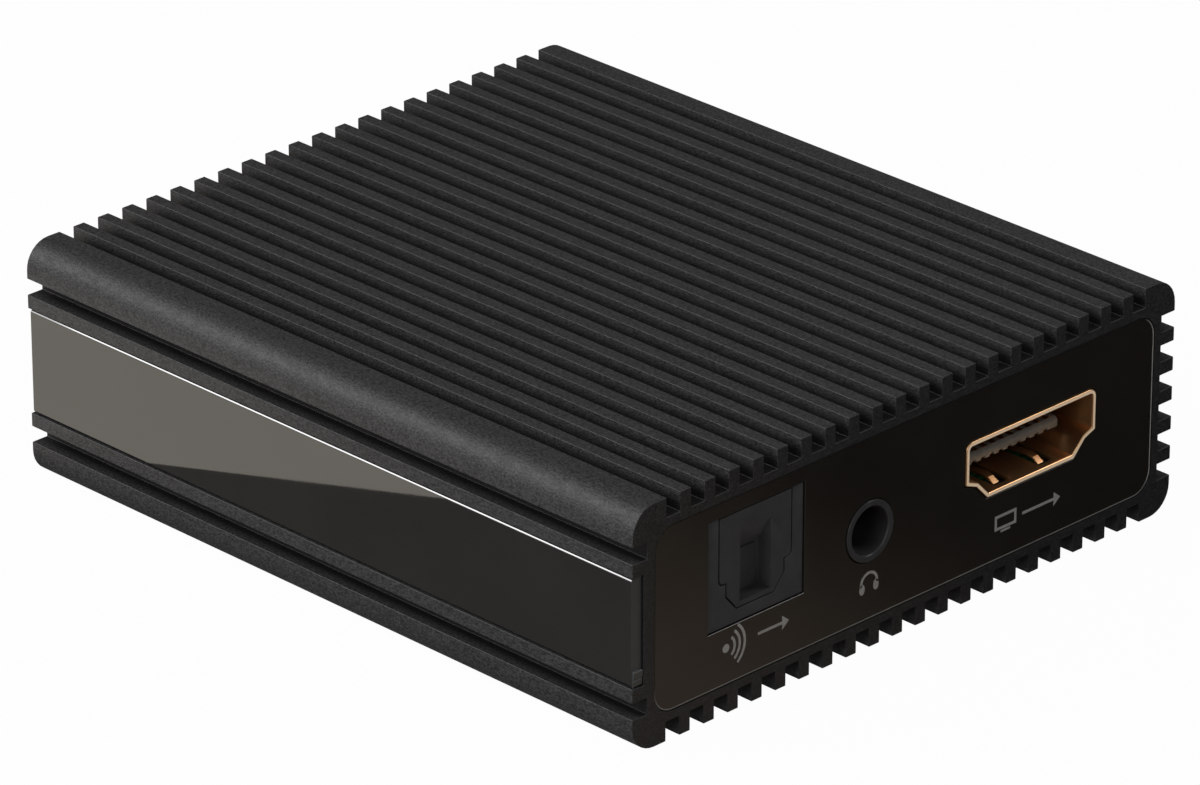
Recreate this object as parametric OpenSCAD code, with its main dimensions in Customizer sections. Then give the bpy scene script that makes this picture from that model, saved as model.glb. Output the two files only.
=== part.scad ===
// Audio extractor in a finned aluminium case
// It passes a picture signal on and takes the sound out of it.
// Millimetres. X runs along the output end, the output end faces -Y, and +Z is up.
// The origin is under the middle of the case, on the table.

/* [Case] */
// Width of the case across the ends
case_width = 61; // [60:0.5:72]
// Length of the case, along the fins
case_length = 69; // [66:0.5:100]
// Height of the case
case_height = 20.6; // [20.2:0.1:24]
// Radius of the four long outer corners
corner_radius = 2.3; // [1:0.1:2.8]
// Width of the ribs at the corners, seen from above
corner_rib_width = 3.58; // [3:0.02:4.4]
// Height of the ribs at the corners, seen from the side
corner_rib_height = 3.05; // [2.8:0.05:3.4]
// Thickness of the case behind its grooves
wall = 0.75; // [0.6:0.05:0.9]

/* [Fins] */
// Number of fins on the top, and on the bottom
fin_count = 20; // [8:1:22]
// Thickness of a fin on the top and bottom
fin_width = 1.16; // [0.9:0.02:1.3]
// Depth of the grooves on the top and bottom
fin_groove_depth = 1.65; // [1.3:0.05:1.75]
// Number of fins on the plain side
side_fin_count = 5; // [3:1:6]
// Thickness of a fin on the plain side
side_fin_width = 1.2; // [0.9:0.05:1.4]
// Depth of the grooves on both sides
side_groove_depth = 1.55; // [1.2:0.05:1.6]

/* [Side strip] */
// Height of the groove above the slot's ribs, and of the one below them
strip_groove = 1.395; // [1:0.005:2]
// Thickness of the rib above the slot, and of the one below it
strip_rib = 1.2; // [0.9:0.05:1.5]
// Depth of the slot that holds the glossy strip
strip_slot_depth = 1.17; // [0.8:0.01:1.4]
// How far the strip lies below the ribs beside it
strip_setback = 0.07; // [0.02:0.01:0.3]
// Gap between the strip and each side of its slot
strip_gap = 0.08; // [0.02:0.01:0.2]
// Width of the polished bevel along the strip's edges
strip_bevel = 0.18; // [0.05:0.01:0.3]

/* [End panels] */
// How far the glossy face lies inside the end of the case
face_recess = 0.1; // [0.05:0.05:0.3]
// Thickness of the glossy face
face_thickness = 0.8; // [0.5:0.1:1]
// Thickness of the screwed plate behind it
plate_thickness = 1.2; // [0.9:0.1:1.5]
// Radius of the panels' corners
panel_corner_radius = 2; // [1:0.1:3]
// Gap round the panels, and round what comes through them
panel_gap = 0.08; // [0.04:0.01:0.12]
// Radius of the pilot holes in the case for the plate screws
port_bore_radius = 0.85; // [0.7:0.05:1]
// Length of a plate screw
screw_length = 6; // [4:0.5:8]
// Radius of a screw's head
screw_head_radius = 1.5; // [1.3:0.05:1.6]

/* [Circuit board] */
// Height of the board's upper face above the table
board_top = 7.35; // [7.1:0.05:7.5]
// Thickness of the board
board_thickness = 1.6; // [1.2:0.1:1.7]
// Gap between the board and the side walls, and under the rails
board_gap = 0.12; // [0.05:0.01:0.2]

/* [Video sockets] */
// Place of the output socket, as a share of half the width of the case's inside
output_share = 0.49; // [0.45:0.005:0.52]
// Place of the input socket, as such a share
input_share = 0.49; // [0.45:0.005:0.52]
// Outer width of the metal shell
video_width = 15.06; // [14.5:0.01:15.5]
// Outer height of the metal shell
video_height = 5.46; // [5.3:0.01:5.8]
// Height of the shell above the board
video_rise = 1; // [0.8:0.05:1.3]
// Thickness of the shell's sheet
video_sheet = 0.4; // [0.3:0.05:0.5]
// Length of the shell
video_depth = 11.5; // [10.5:0.1:13]
// Width of the tongue that carries the contacts
tongue_width = 11.1; // [11:0.1:12]
// Thickness of the tongue
tongue_thickness = 0.9; // [0.8:0.05:1.2]
// How far the tongue stays behind the rim
tongue_setback = 2.3; // [1.5:0.1:3]
// Contacts on the tongue's upper side: the lower side has one fewer
contact_count = 10; // [4:1:10]
// Distance from one contact to the next
contact_pitch = 1.04; // [0.95:0.01:1.06]

/* [Optical socket] */
// Place of the optical socket towards the strip, as a share of half the width of the case's inside
optical_share = 0.605; // [0.58:0.005:0.63]
// Width of the socket's housing
optical_width = 10.36; // [10.1:0.02:11]
// Space between the housing and the roof of the case
optical_headroom = 1.49; // [1:0.01:1.7]
// Length of the housing
optical_depth = 13.5; // [12.5:0.1:15]
// How far the housing's face lies inside the end of the case
optical_setback = 0.25; // [0.15:0.05:0.4]
// Depth that a plug goes in
optical_plug_depth = 9; // [8.6:0.1:9.6]
// Width of the shutter
shutter_width = 7.78; // [7.5:0.02:8]
// Thickness of the shutter's flap
shutter_thickness = 1; // [0.9:0.05:1.1]
// Gap round the shutter
shutter_gap = 0.14; // [0.12:0.01:0.2]
// Depth of the hollow in the shutter's face
scoop_depth = 1.3; // [1.1:0.05:1.35]
// Radius of the shutter's hinge pin
shutter_pin_radius = 0.3; // [0.25:0.01:0.32]
// Thickness of the spring's wire
spring_wire = 0.2; // [0.15:0.01:0.22]
// Turns of the spring
spring_turns = 3; // [2:1:4]

/* [Headphone socket] */
// Place of the headphone socket towards the strip, as a share of half the width of the case's inside
jack_share = 0.161; // [0.12:0.001:0.2]
// Height of the socket's axis above the board
jack_rise = 2.72; // [2.7:0.02:3]
// Outer radius of the ring that comes through the panel
jack_nose_radius = 2.6; // [2.4:0.05:2.65]
// Radius of the hole for the plug
jack_bore_radius = 1.8; // [1.75:0.01:1.85]
// Depth of that hole
jack_bore_depth = 14; // [13:0.1:15]
// Radius of the countersink round the hole's mouth
jack_mouth_radius = 2.12; // [1.9:0.02:2.3]
// Width of the socket's body
jack_body_width = 6.4; // [6:0.1:7]

/* [Power socket] */
// Place of the power socket towards the strip, as a share of half the width of the case's inside
power_share = 0.709; // [0.66:0.001:0.74]
// Height of its axis above the board
power_rise = 3; // [2.9:0.05:3.4]
// Radius of the hole for the plug
power_bore_radius = 1.85; // [1.8:0.01:1.95]
// Depth of that hole
power_bore_depth = 9; // [8:0.1:10]
// Radius of the pin in the hole
power_pin_radius = 0.65; // [0.5:0.01:0.7]
// Outer radius of the collar that comes through the panel
power_nose_radius = 2.75; // [2.6:0.05:2.85]

/* [Mode switch and light] */
// Place of the mode switch towards the strip, as a share of half the width of the case's inside
switch_share = 0.142; // [0.05:0.001:0.2]
// Way of the slider to each side of its middle position
switch_travel = 2; // [1.5:0.1:2.2]
// Width and height of the slider's knob
knob_size = 1.5; // [1.2:0.1:1.8]
// Place of the status light towards the strip, as such a share
light_share = 0.44; // [0.4:0.005:0.46]
// Radius of the status light
light_radius = 0.95; // [0.8:0.05:1]

/* [Hidden] */
$fn = 48;

// One overrun for every cut
cut = 1;

// Colours
anodised = "#2a2a2a";
gloss_black = "#14120f";
strip_black = "#35332f";
plate_grey = "#3c3c3e";
steel = "#8f8f92";
gold = "#c9a56b";
tin = "#b9bcc0";
moulded_black = "#262627";
tongue_grey = "#3f3f41";
board_green = "#1d4a33";
chip_black = "#1c1c1e";
pad_grey = "#8e9aa6";
ceramic_tan = "#9a7f5c";
can_silver = "#a9adb1";
light_green = "#9fe0a2";

// The case's inside, and the panels that close it
mid_height = case_height / 2;
half_length = case_length / 2;
cavity_bottom = fin_groove_depth + wall;
cavity_top = case_height - cavity_bottom;
cavity_half = case_width / 2 - side_groove_depth - wall;
plate_back = face_recess + face_thickness + plate_thickness;

// The fins
fin_span = case_width - 2 * corner_rib_width;
fin_groove = (fin_span - fin_count * fin_width) / (fin_count + 1);
side_span = case_height - 2 * corner_rib_height;
side_groove = (side_span - side_fin_count * side_fin_width) / (side_fin_count + 1);
strip_slot_height = side_span - 2 * (strip_groove + strip_rib);

// Where the sockets, the switch and the light stand across the ends
output_x = output_share * cavity_half;
input_x = input_share * cavity_half;
optical_x = optical_share * cavity_half;
jack_x = jack_share * cavity_half;
power_x = power_share * cavity_half;
switch_x = switch_share * cavity_half;
light_x = light_share * cavity_half;

// The board lies on the lower screw ports and under a rail on each side
board_bottom = board_top - board_thickness;
board_end_gap = 0.2;
board_length = case_length - 2 * (plate_back + board_end_gap);
board_half = cavity_half - board_gap;
port_radius = (board_bottom - cavity_bottom) / 2;
port_x = cavity_half - port_radius;
port_rise = mid_height - cavity_bottom - port_radius;
rail_depth = 1.6;
rail_thickness = 0.9;

// The plate screws
screw_clearance = 0.05;
screw_radius = port_bore_radius - screw_clearance;
screw_head_height = screw_head_radius - screw_radius;
screw_socket_radius = screw_head_radius / 2;
screw_socket_depth = screw_head_height / 2;

// The video sockets' outline, half of it, from the foot up
video_bottom = board_top + video_rise;
video_half = video_width / 2;
video_foot_inset = 2.5;
video_knee_inset = 1.2;
video_knee_rise = 1.36;
video_shoulder_rise = 1.82;
video_top_radius = 0.7;
arc_steps = 5;
video_block_start = 8.4;
tongue_rise = 1.95;
tongue_bevel = 0.28;
contact_width = 0.45;
contact_thickness = 0.2;
tail_width = 0.3;
tail_gap = 0.12;
tail_foot = 0.8;
leg_length = 1.2;
leg_lap = 1.2;
leg_offset = 0.6;
leg_places = [plate_back + leg_offset, video_block_start + leg_offset];
leg_reach = 0.6;
hole_gap = 0.1;

// The springs stamped from the shell's floor and roof
tab_x = 2.6;
tab_width = 0.76;
tab_window_width = 1.8;
tab_window_start = 0.7;
tab_start = 1.25;
tab_length = 4;
tab_height = 0.6;
tab_shares = [
    [0, 0.03], [0.17, 0.75], [0.33, 1], [1, 0.6],
    [1, 0.17], [0.33, 0.57], [0.21, 0.38], [0.04, 0.03]
];

// The optical socket
optical_bottom = board_top;
optical_top = cavity_top - optical_headroom;
optical_height = optical_top - optical_bottom;
shutter_half = shutter_width / 2;
shutter_step_width = 0.79;
shutter_foot_inset = 1.92;
shutter_foot_rise = 1.18;
shutter_chamfer_rise = 1.29;
shutter_step_rise = 2.48;
shutter_step_radius = 0.42;
shutter_foot = optical_bottom + shutter_foot_rise;
shutter_head_drop = 0.1;
shutter_head = optical_top - shutter_head_drop;
hinge_inset = 0.95;
hinge_drop = 1.26;
hinge_z = optical_top - hinge_drop;
hinge_gap = 0.03;
barrel_radius = 0.65;
optical_roof = 0.46;
roof_gap = 0.06;
roof_start = shutter_thickness + roof_gap;
scoop_half = 1.69;
scoop_foot_rise = 0.4;
scoop_head_drop = 1.65;
scoop_roof_run = 2.1;
scoop_wall = 0.4;
pin_seat = 0.9;
spring_bore_gap = 0.07;
spring_radius = shutter_pin_radius + spring_wire / 2 + spring_bore_gap;
spring_half = 0.9;
spring_end_gap = 0.1;
spring_pocket_half = spring_half + spring_wire + spring_end_gap;
spring_pocket_gap = 0.05;
spring_pocket_radius = spring_radius + spring_wire / 2 + spring_pocket_gap;
spring_leg_down = 1.7;
spring_leg_up = 1.1;
spring_notch_half = 0.3;
spring_notch_depth = 0.7;
spring_steps = 16;
spring_sides = 6;
optical_axis_share = 0.433;
optical_axis_rise = optical_axis_share * optical_height;
ferrule_radius = 1.3;
ferrule_length = 1.8;
emitter_width = 5.8;
emitter_foot_rise = 1.05;
emitter_height = 2 * (optical_axis_rise - emitter_foot_rise);
emitter_thickness = 2.4;
emitter_lens_radius = 1.1;
emitter_start = optical_plug_depth + ferrule_length;
emitter_gap = 0.1;
lead_size = 0.45;
lead_pitch = 2.54;
lead_reach = 0.7;
peg_radius = 0.6;
peg_x = 3.6;
peg_y = 8;
peg_reach = 0.7;

// The headphone socket
jack_z = board_top + jack_rise;
jack_body_gap = 0.1;
jack_body_start = plate_back + jack_body_gap;
jack_body_height = 5.6;
jack_back_wall = 0.8;
jack_mouth_depth = 0.5;
jack_contact_places = [4.2, 7.4, 10.2, 12.4];
jack_contact_width = 1;
jack_contact_thickness = 0.25;
jack_contact_gap = 0.03;
jack_slot_half_height = 0.85;
jack_tail_width = 0.7;

// The power socket
power_z = board_top + power_rise;
power_body_gap = 0.1;
power_body_width = 6.6;
power_body_height = 6;
power_back_wall = 1.6;
power_nose_start = face_recess;
power_pin_start = 1;
power_pin_tip = 0.3;
power_contact_width = 1.6;
power_contact_thickness = 0.3;
power_contact_length = 5.5;

// The mode switch
switch_front_gap = 0.15;
switch_start = plate_back + switch_front_gap;
switch_depth = 3.6;
switch_height = 3.6;
switch_width = 8.6;
switch_sheet = 0.25;
switch_gap = 0.06;
switch_floor = 0.6;
switch_back = 0.8;
switch_rise = 1.95;
slider_half = (switch_width - 2 * switch_sheet) / 2 - switch_travel - switch_gap;
knob_end = face_recess;
knob_gap = 0.15;
terminal_count = 4;
terminal_pitch = 2;
terminal_size = 0.4;

// The status light
light_rise = 2.72;
light_z = board_top + light_rise;
light_front = face_recess;
light_length = 4.6;
holder_width = 2.8;
holder_length = 2.6;
holder_front_gap = 0.2;
holder_start = plate_back + holder_front_gap;
holder_height = 4.3;
light_gap = 0.04;

// The chips and other parts on the board: their middles as shares of half the board's width and length
video_chip_shares = [0.28, 0];
video_chip_size = [10, 10, 1.2];
video_lead_count = 12;
video_lead_pitch = 0.72;
audio_chip_shares = [-0.5, -0.28];
audio_chip_size = [9.9, 3.9, 1.5];
audio_lead_count = 8;
audio_lead_pitch = 1.27;
chip_lead_width = 0.3;
chip_lead_thickness = 0.15;
chip_lead_reach = 1;
chip_standoff = 0.1;
crystal_shares = [-0.07, -0.31];
crystal_size = [5, 3.2, 1.1];
crystal_lid_inset = 0.35;
crystal_lid_height = 0.25;
inductor_shares = [-0.5, 0.37];
inductor_size = [6, 6, 2.8];
inductor_core_radius = 1.9;
inductor_top_dip = 0.5;
regulator_shares = [-0.5, 0.09];
regulator_size = [6.5, 3.5, 1.6];
regulator_tab = [3, 1.6, 0.3];
regulator_lead_width = 0.7;
regulator_lead_pitch = 2.3;
capacitor_shares = [[-0.8, 0.03], [-0.8, 0.22], [-0.8, 0.41]];
capacitor_radius = 2.1;
capacitor_height = 5.2;
capacitor_base = 4.4;
capacitor_base_height = 0.6;
capacitor_neck_radius = 1.9;
capacitor_neck_height = 0.35;
ceramic_size = [0.9, 1.6, 0.8];
ceramic_pitch = 1.8;
ceramic_count = 7;
ceramic_row_share = 0.54;

// A place on the board from its shares
function board_place(shares) = [shares[0] * board_half, shares[1] * board_length / 2];

// Radius of a hole in the board for a flat or square pin
function pin_hole(width, thickness) = norm([width, thickness]) / 2 + hole_gap;

// Points on an arc, counterclockwise
function arc_points(middle, radius, from, to, steps) = [
    for (i = [0 : steps])
        let (angle = from + (to - from) * i / steps)
        middle + radius * [cos(angle), sin(angle)]
];

// Half an outline, drawn up the right side, with its mirror image down the left side
function with_mirror(half) = concat(half, [
    for (i = [len(half) - 1 : -1 : 0]) [-half[i][0], half[i][1]]
]);

// The outward direction of the edge from a to b in a counterclockwise outline
function outward(a, b) = [b[1] - a[1], a[0] - b[0]] / norm(b - a);

// A counterclockwise outline moved outwards by an amount, with mitred corners
function grown(points, by) = [
    for (i = [0 : len(points) - 1])
        let (last = points[(i + len(points) - 1) % len(points)])
        let (here = points[i])
        let (next = points[(i + 1) % len(points)])
        let (first_side = outward(last, here))
        let (second_side = outward(here, next))
        here + by * (first_side + second_side) / (1 + first_side * second_side)
];

video_outline = with_mirror(concat(
    [
        [video_half - video_foot_inset, video_bottom],
        [video_half - video_knee_inset, video_bottom + video_knee_rise],
        [video_half, video_bottom + video_shoulder_rise]
    ],
    arc_points(
        [video_half - video_top_radius, video_bottom + video_height - video_top_radius],
        video_top_radius, 0, 90, arc_steps
    )
));

// The shutter's outline, up to a given height
function shutter_outline(head) = with_mirror(concat(
    [
        [shutter_half - shutter_foot_inset, shutter_foot],
        [shutter_half - shutter_step_width, shutter_foot + shutter_chamfer_rise],
        [shutter_half - shutter_step_width, shutter_foot + shutter_step_rise]
    ],
    arc_points(
        [shutter_half - shutter_step_radius, shutter_foot + shutter_step_rise + shutter_step_radius],
        shutter_step_radius, -90, 0, arc_steps
    ),
    [[shutter_half, head]]
));

// Where a piece stands: depth is measured inwards from the end of the case
module at_output(x) {
    translate([x, -half_length, 0]) children();
}

module at_input(x) {
    translate([x, half_length, 0]) rotate([0, 0, 180]) children();
}

// A drawing of x and height made into a slab that starts at a depth
module slab(start, thickness) {
    translate([0, start + thickness, 0]) rotate([90, 0, 0]) linear_extrude(height = thickness) children();
}

// A drawing of depth and height made into a bar along x
module bar_of(width) {
    translate([-width / 2, 0, 0]) rotate([90, 0, 90]) linear_extrude(height = width) children();
}

// A box with its middle in x and its lower front edge given
module block(width, start, length, bottom, height) {
    translate([-width / 2, start, bottom]) cube([width, length, height]);
}

// A round bar along the depth
module round_bar(radius, start, length, height) {
    translate([0, start, height]) rotate([-90, 0, 0]) cylinder(r = radius, h = length);
}

module rounded_rectangle(width, height, radius) {
    square([width - 2 * radius, height], center = true);
    square([width, height - 2 * radius], center = true);
    for (side = [-1, 1], level = [-1, 1]) {
        translate([side * (width / 2 - radius), level * (height / 2 - radius)]) circle(r = radius);
    }
}

// The grooves between the fins of the top and bottom
module fin_grooves() {
    for (i = [0 : fin_count]) {
        x = -fin_span / 2 + i * (fin_width + fin_groove);
        translate([x, -cut]) square([fin_groove, fin_groove_depth + cut]);
        translate([x, case_height - fin_groove_depth]) square([fin_groove, fin_groove_depth + cut]);
    }
}

// The grooves of the plain side
module plain_side_grooves() {
    for (i = [0 : side_fin_count]) {
        z = corner_rib_height + i * (side_fin_width + side_groove);
        translate([case_width / 2 - side_groove_depth, z]) square([side_groove_depth + cut, side_groove]);
    }
}

// The slot for the strip, with a groove above it and one below it
module strip_side_grooves() {
    edge = -case_width / 2;
    low = corner_rib_height;
    high = case_height - corner_rib_height - strip_groove;
    for (z = [low, high]) {
        translate([edge - cut, z]) square([side_groove_depth + cut, strip_groove]);
    }
    translate([edge - cut, mid_height - strip_slot_height / 2]) {
        square([strip_slot_depth + cut, strip_slot_height]);
    }
}

module at_ports() {
    for (side = [-1, 1], level = [-1, 1]) {
        translate([side * port_x, mid_height + level * port_rise]) children();
    }
}

// The solid corners that hold the plate screws
module screw_ports() {
    at_ports() circle(r = port_radius);
    fill = port_radius;
    for (side = [-1, 1], level = [-1, 1]) {
        translate([side * (port_x + fill / 2), mid_height + level * (port_rise + fill / 2)]) {
            square(fill, center = true);
        }
    }
}

// The rails that hold the board down
module board_rails() {
    for (side = [-1, 1]) {
        translate([side * (cavity_half - rail_depth / 2), board_top + board_gap + rail_thickness / 2]) {
            square([rail_depth, rail_thickness], center = true);
        }
    }
}

module cavity_outline(inset) {
    width = 2 * (cavity_half - inset);
    height = cavity_top - cavity_bottom - 2 * inset;
    translate([0, mid_height]) rounded_rectangle(width, height, panel_corner_radius - inset);
}

// The section that the case is extruded in
module case_section() {
    difference() {
        translate([0, mid_height]) rounded_rectangle(case_width, case_height, corner_radius);
        fin_grooves();
        plain_side_grooves();
        strip_side_grooves();
        difference() {
            cavity_outline(0);
            screw_ports();
            board_rails();
        }
        at_ports() circle(r = port_bore_radius);
    }
}

module finned_case() {
    color(anodised) difference() {
        at_output(0) slab(0, case_length) case_section();
        // Both ends are milled out for the panels
        at_output(0) slab(-cut, plate_back + cut) cavity_outline(0);
        at_input(0) slab(-cut, plate_back + cut) cavity_outline(0);
    }
}

module side_strip() {
    face = -case_width / 2 + strip_setback;
    back = -case_width / 2 + strip_slot_depth;
    low = mid_height - strip_slot_height / 2 + strip_gap;
    high = mid_height + strip_slot_height / 2 - strip_gap;
    color(strip_black) at_output(0) slab(0, case_length) polygon([
        [back, low], [back, high],
        [face + strip_bevel, high], [face, high - strip_bevel],
        [face, low + strip_bevel], [face + strip_bevel, low]
    ]);
}

// What comes through the output end, in x and height
module output_cutouts() {
    translate([output_x, 0]) polygon(grown(video_outline, panel_gap));
    translate([-optical_x, optical_bottom + optical_height / 2]) {
        square([optical_width + 2 * panel_gap, optical_height + 2 * panel_gap], center = true);
    }
    translate([-jack_x, jack_z]) circle(r = jack_nose_radius + panel_gap);
}

// What comes through the input end, in x seen from outside and height
module input_cutouts() {
    translate([-input_x, 0]) polygon(grown(video_outline, panel_gap));
    translate([power_x, power_z]) circle(r = power_nose_radius + panel_gap);
    translate([switch_x, board_top + switch_rise]) {
        square([knob_size + 2 * (switch_travel + knob_gap), knob_size + 2 * knob_gap], center = true);
    }
    translate([light_x, light_z]) circle(r = light_radius + panel_gap);
}

// A glossy face with its openings
module face_panel() {
    slab(face_recess, face_thickness) difference() {
        cavity_outline(panel_gap);
        children();
    }
}

// A plate with its openings, and countersunk holes for its screws
module screwed_plate() {
    start = face_recess + face_thickness;
    difference() {
        slab(start, plate_thickness) difference() {
            cavity_outline(panel_gap);
            at_ports() circle(r = screw_radius + screw_clearance);
            children();
        }
        screw_cones(start - screw_clearance);
    }
}

// The countersinks, which are also the shape of the heads
module screw_cones(start) {
    for (side = [-1, 1], level = [-1, 1]) {
        translate([side * port_x, start, mid_height + level * port_rise]) rotate([-90, 0, 0]) {
            cylinder(
                r1 = screw_head_radius + screw_clearance, r2 = screw_radius,
                h = screw_head_height + screw_clearance
            );
        }
    }
}

module plate_screws() {
    start = face_recess + face_thickness;
    for (side = [-1, 1], level = [-1, 1]) {
        translate([side * port_x, start, mid_height + level * port_rise]) rotate([-90, 0, 0]) {
            difference() {
                union() {
                    cylinder(r1 = screw_head_radius, r2 = screw_radius, h = screw_head_height);
                    cylinder(r = screw_radius, h = screw_length);
                }
                translate([0, 0, -cut]) {
                    cylinder(r = screw_socket_radius, h = screw_socket_depth + cut, $fn = 6);
                }
            }
        }
    }
}

module output_face() {
    color(gloss_black) at_output(0) face_panel() output_cutouts();
}

module output_plate() {
    color(plate_grey) at_output(0) screwed_plate() output_cutouts();
}

module output_plate_screws() {
    color(steel) at_output(0) plate_screws();
}

module input_face() {
    color(gloss_black) at_input(0) face_panel() input_cutouts();
}

module input_plate() {
    color(plate_grey) at_input(0) screwed_plate() input_cutouts();
}

module input_plate_screws() {
    color(steel) at_input(0) plate_screws();
}

// Holes in the board for the legs of a video socket
module video_leg_holes() {
    for (side = [-1, 1], start = leg_places) {
        translate([side * (video_half - video_sheet / 2), 0, 0]) {
            block(video_sheet + 2 * hole_gap, start - hole_gap, leg_length + 2 * hole_gap,
                board_bottom - cut, board_thickness + 2 * cut);
        }
    }
}

module board_hole(x, y, radius) {
    translate([x, y, board_bottom - cut]) cylinder(r = radius, h = board_thickness + 2 * cut);
}

module circuit_board() {
    color(board_green) difference() {
        block(2 * board_half, -board_length / 2, board_length, board_bottom, board_thickness);
        at_output(output_x) video_leg_holes();
        at_input(input_x) video_leg_holes();
        at_output(-optical_x) {
            for (side = [-1, 1]) {
                board_hole(side * peg_x, optical_setback + peg_y, peg_radius + hole_gap);
            }
            for (i = [-1 : 1]) {
                board_hole(i * lead_pitch, lead_depth(), pin_hole(lead_size, lead_size));
            }
        }
        at_output(-jack_x) {
            for (i = [0 : len(jack_contact_places) - 1]) {
                board_hole(jack_contact_side(i) * jack_contact_x(), jack_contact_places[i],
                    pin_hole(jack_tail_width, jack_contact_thickness));
            }
        }
        at_input(-power_x) {
            board_hole(0, power_pin_tail(), power_pin_radius + hole_gap);
            board_hole(0, power_contact_tail() - power_contact_thickness / 2,
                pin_hole(power_contact_width / 2, power_contact_thickness));
        }
        at_input(-switch_x) {
            for (i = [0 : terminal_count - 1]) {
                board_hole(terminal_x(i), terminal_depth(), pin_hole(terminal_size, terminal_size));
            }
        }
    }
}

// A soft pad that takes the video chip's heat to the case
module thermal_pad() {
    chip_foot = board_bottom - chip_standoff - video_chip_size[2];
    color(pad_grey) translate(board_place(video_chip_shares)) {
        block(video_chip_size[0], -video_chip_size[1] / 2, video_chip_size[1],
            cavity_bottom, chip_foot - cavity_bottom);
    }
}

// A spring finger in profile: depth and height above the shell's underside
module tab_profile() {
    polygon([for (p = tab_shares) [tab_start + p[0] * tab_length, video_bottom + p[1] * tab_height]]);
}

// A video socket's shell: bent sheet with four legs, and springs in its floor and roof
module video_shell() {
    middle = video_bottom + video_height / 2;
    difference() {
        slab(0, video_depth) difference() {
            polygon(video_outline);
            polygon(grown(video_outline, -video_sheet));
        }
        for (side = [-1, 1]) {
            translate([side * tab_x, 0, 0]) {
                block(tab_window_width, tab_window_start, tab_start + tab_length - tab_window_start,
                    video_bottom - cut, video_height + 2 * cut);
            }
        }
    }
    for (side = [-1, 1], over = [0, 1]) {
        translate([side * tab_x, 0, over * 2 * middle]) {
            if (over == 0) bar_of(tab_width) tab_profile();
            else mirror([0, 0, 1]) bar_of(tab_width) tab_profile();
        }
    }
    for (side = [-1, 1], start = leg_places) {
        foot = board_bottom - leg_reach;
        head = video_bottom + video_shoulder_rise + leg_lap;
        translate([side * (video_half - video_sheet / 2), 0, 0]) {
            block(video_sheet, start, leg_length, foot, head - foot);
        }
    }
}

// One contact: a blade along the tongue, a drop behind the shell and a foot on the board
module contact_blade(x, height, start, width) {
    drop = video_depth + tail_gap;
    translate([x, 0, 0]) {
        block(width, start, video_block_start - start, height, contact_thickness);
        block(tail_width, video_block_start, drop - video_block_start, height, contact_thickness);
        block(tail_width, drop, contact_thickness, board_top, height + contact_thickness - board_top);
        block(tail_width, drop, tail_foot, board_top, contact_thickness);
    }
}

module video_contacts() {
    low = video_bottom + tongue_rise;
    high = low + tongue_thickness - contact_thickness;
    start = tongue_setback + tongue_bevel;
    for (i = [0 : contact_count - 1]) {
        contact_blade((i - (contact_count - 1) / 2) * contact_pitch, high, start, contact_width);
    }
    for (i = [0 : contact_count - 2]) {
        contact_blade((i - (contact_count - 2) / 2) * contact_pitch, low, start, contact_width);
    }
}

// The tongue with the block that carries it, grooved for the contacts
module video_tongue() {
    low = video_bottom + tongue_rise;
    high = low + tongue_thickness;
    difference() {
        union() {
            slab(video_block_start, video_depth - video_block_start) {
                polygon(grown(video_outline, -video_sheet));
            }
            bar_of(tongue_width) polygon([
                [tongue_setback, low], [video_block_start + video_sheet, low],
                [video_block_start + video_sheet, high], [tongue_setback + tongue_bevel, high],
                [tongue_setback, high - tongue_bevel]
            ]);
        }
        video_contacts();
        // The lower grooves run out through the tongue's front
        for (i = [0 : contact_count - 2]) {
            translate([(i - (contact_count - 2) / 2) * contact_pitch, 0, 0]) {
                block(contact_width, tongue_setback - cut, tongue_bevel + cut,
                    low - cut, contact_thickness + cut);
            }
        }
    }
}

module video_output_shell() {
    color(gold) at_output(output_x) video_shell();
}

module video_output_tongue() {
    color(tongue_grey) at_output(output_x) video_tongue();
}

module video_output_contacts() {
    color(gold) at_output(output_x) video_contacts();
}

module video_input_shell() {
    color(gold) at_input(input_x) video_shell();
}

module video_input_tongue() {
    color(tongue_grey) at_input(input_x) video_tongue();
}

module video_input_contacts() {
    color(gold) at_input(input_x) video_contacts();
}

// Depth of the emitter's leads
function lead_depth() = optical_setback + emitter_start + emitter_thickness / 2;

// The optical socket's housing: a block with the plug's way in, open above behind the shutter's head
module optical_housing() {
    ceiling = optical_top - optical_roof;
    way_in = grown(shutter_outline(ceiling - shutter_gap), shutter_gap);
    front = grown(shutter_outline(optical_top + cut), shutter_gap);
    pocket_top = optical_bottom + optical_axis_rise + emitter_height / 2 + emitter_gap;
    color(moulded_black) at_output(-optical_x) translate([0, optical_setback, 0]) difference() {
        union() {
            block(optical_width, 0, optical_depth, optical_bottom, optical_height);
            for (side = [-1, 1]) {
                translate([side * peg_x, peg_y, board_bottom]) {
                    cylinder(r = peg_radius, h = board_thickness + peg_reach);
                }
            }
        }
        slab(-cut, roof_start + cut) polygon(front);
        slab(0, optical_plug_depth) polygon(way_in);
        round_bar(ferrule_radius, optical_plug_depth - cut, emitter_start - optical_plug_depth + 2 * cut,
            optical_bottom + optical_axis_rise);
        block(emitter_width + 2 * emitter_gap, emitter_start - emitter_gap, optical_depth,
            optical_bottom - cut, pocket_top - optical_bottom + cut);
        // The hinge pin's seats
        translate([-shutter_half - shutter_gap - pin_seat, hinge_inset, hinge_z]) rotate([0, 90, 0]) {
            cylinder(r = shutter_pin_radius, h = 2 * (shutter_half + shutter_gap + pin_seat));
        }
        // The notch for the spring's upper leg
        translate([spring_half, 0, 0]) {
            block(2 * spring_notch_half, 0, roof_start + spring_notch_depth,
                ceiling - cut, optical_roof + 2 * cut);
        }
    }
}

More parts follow.
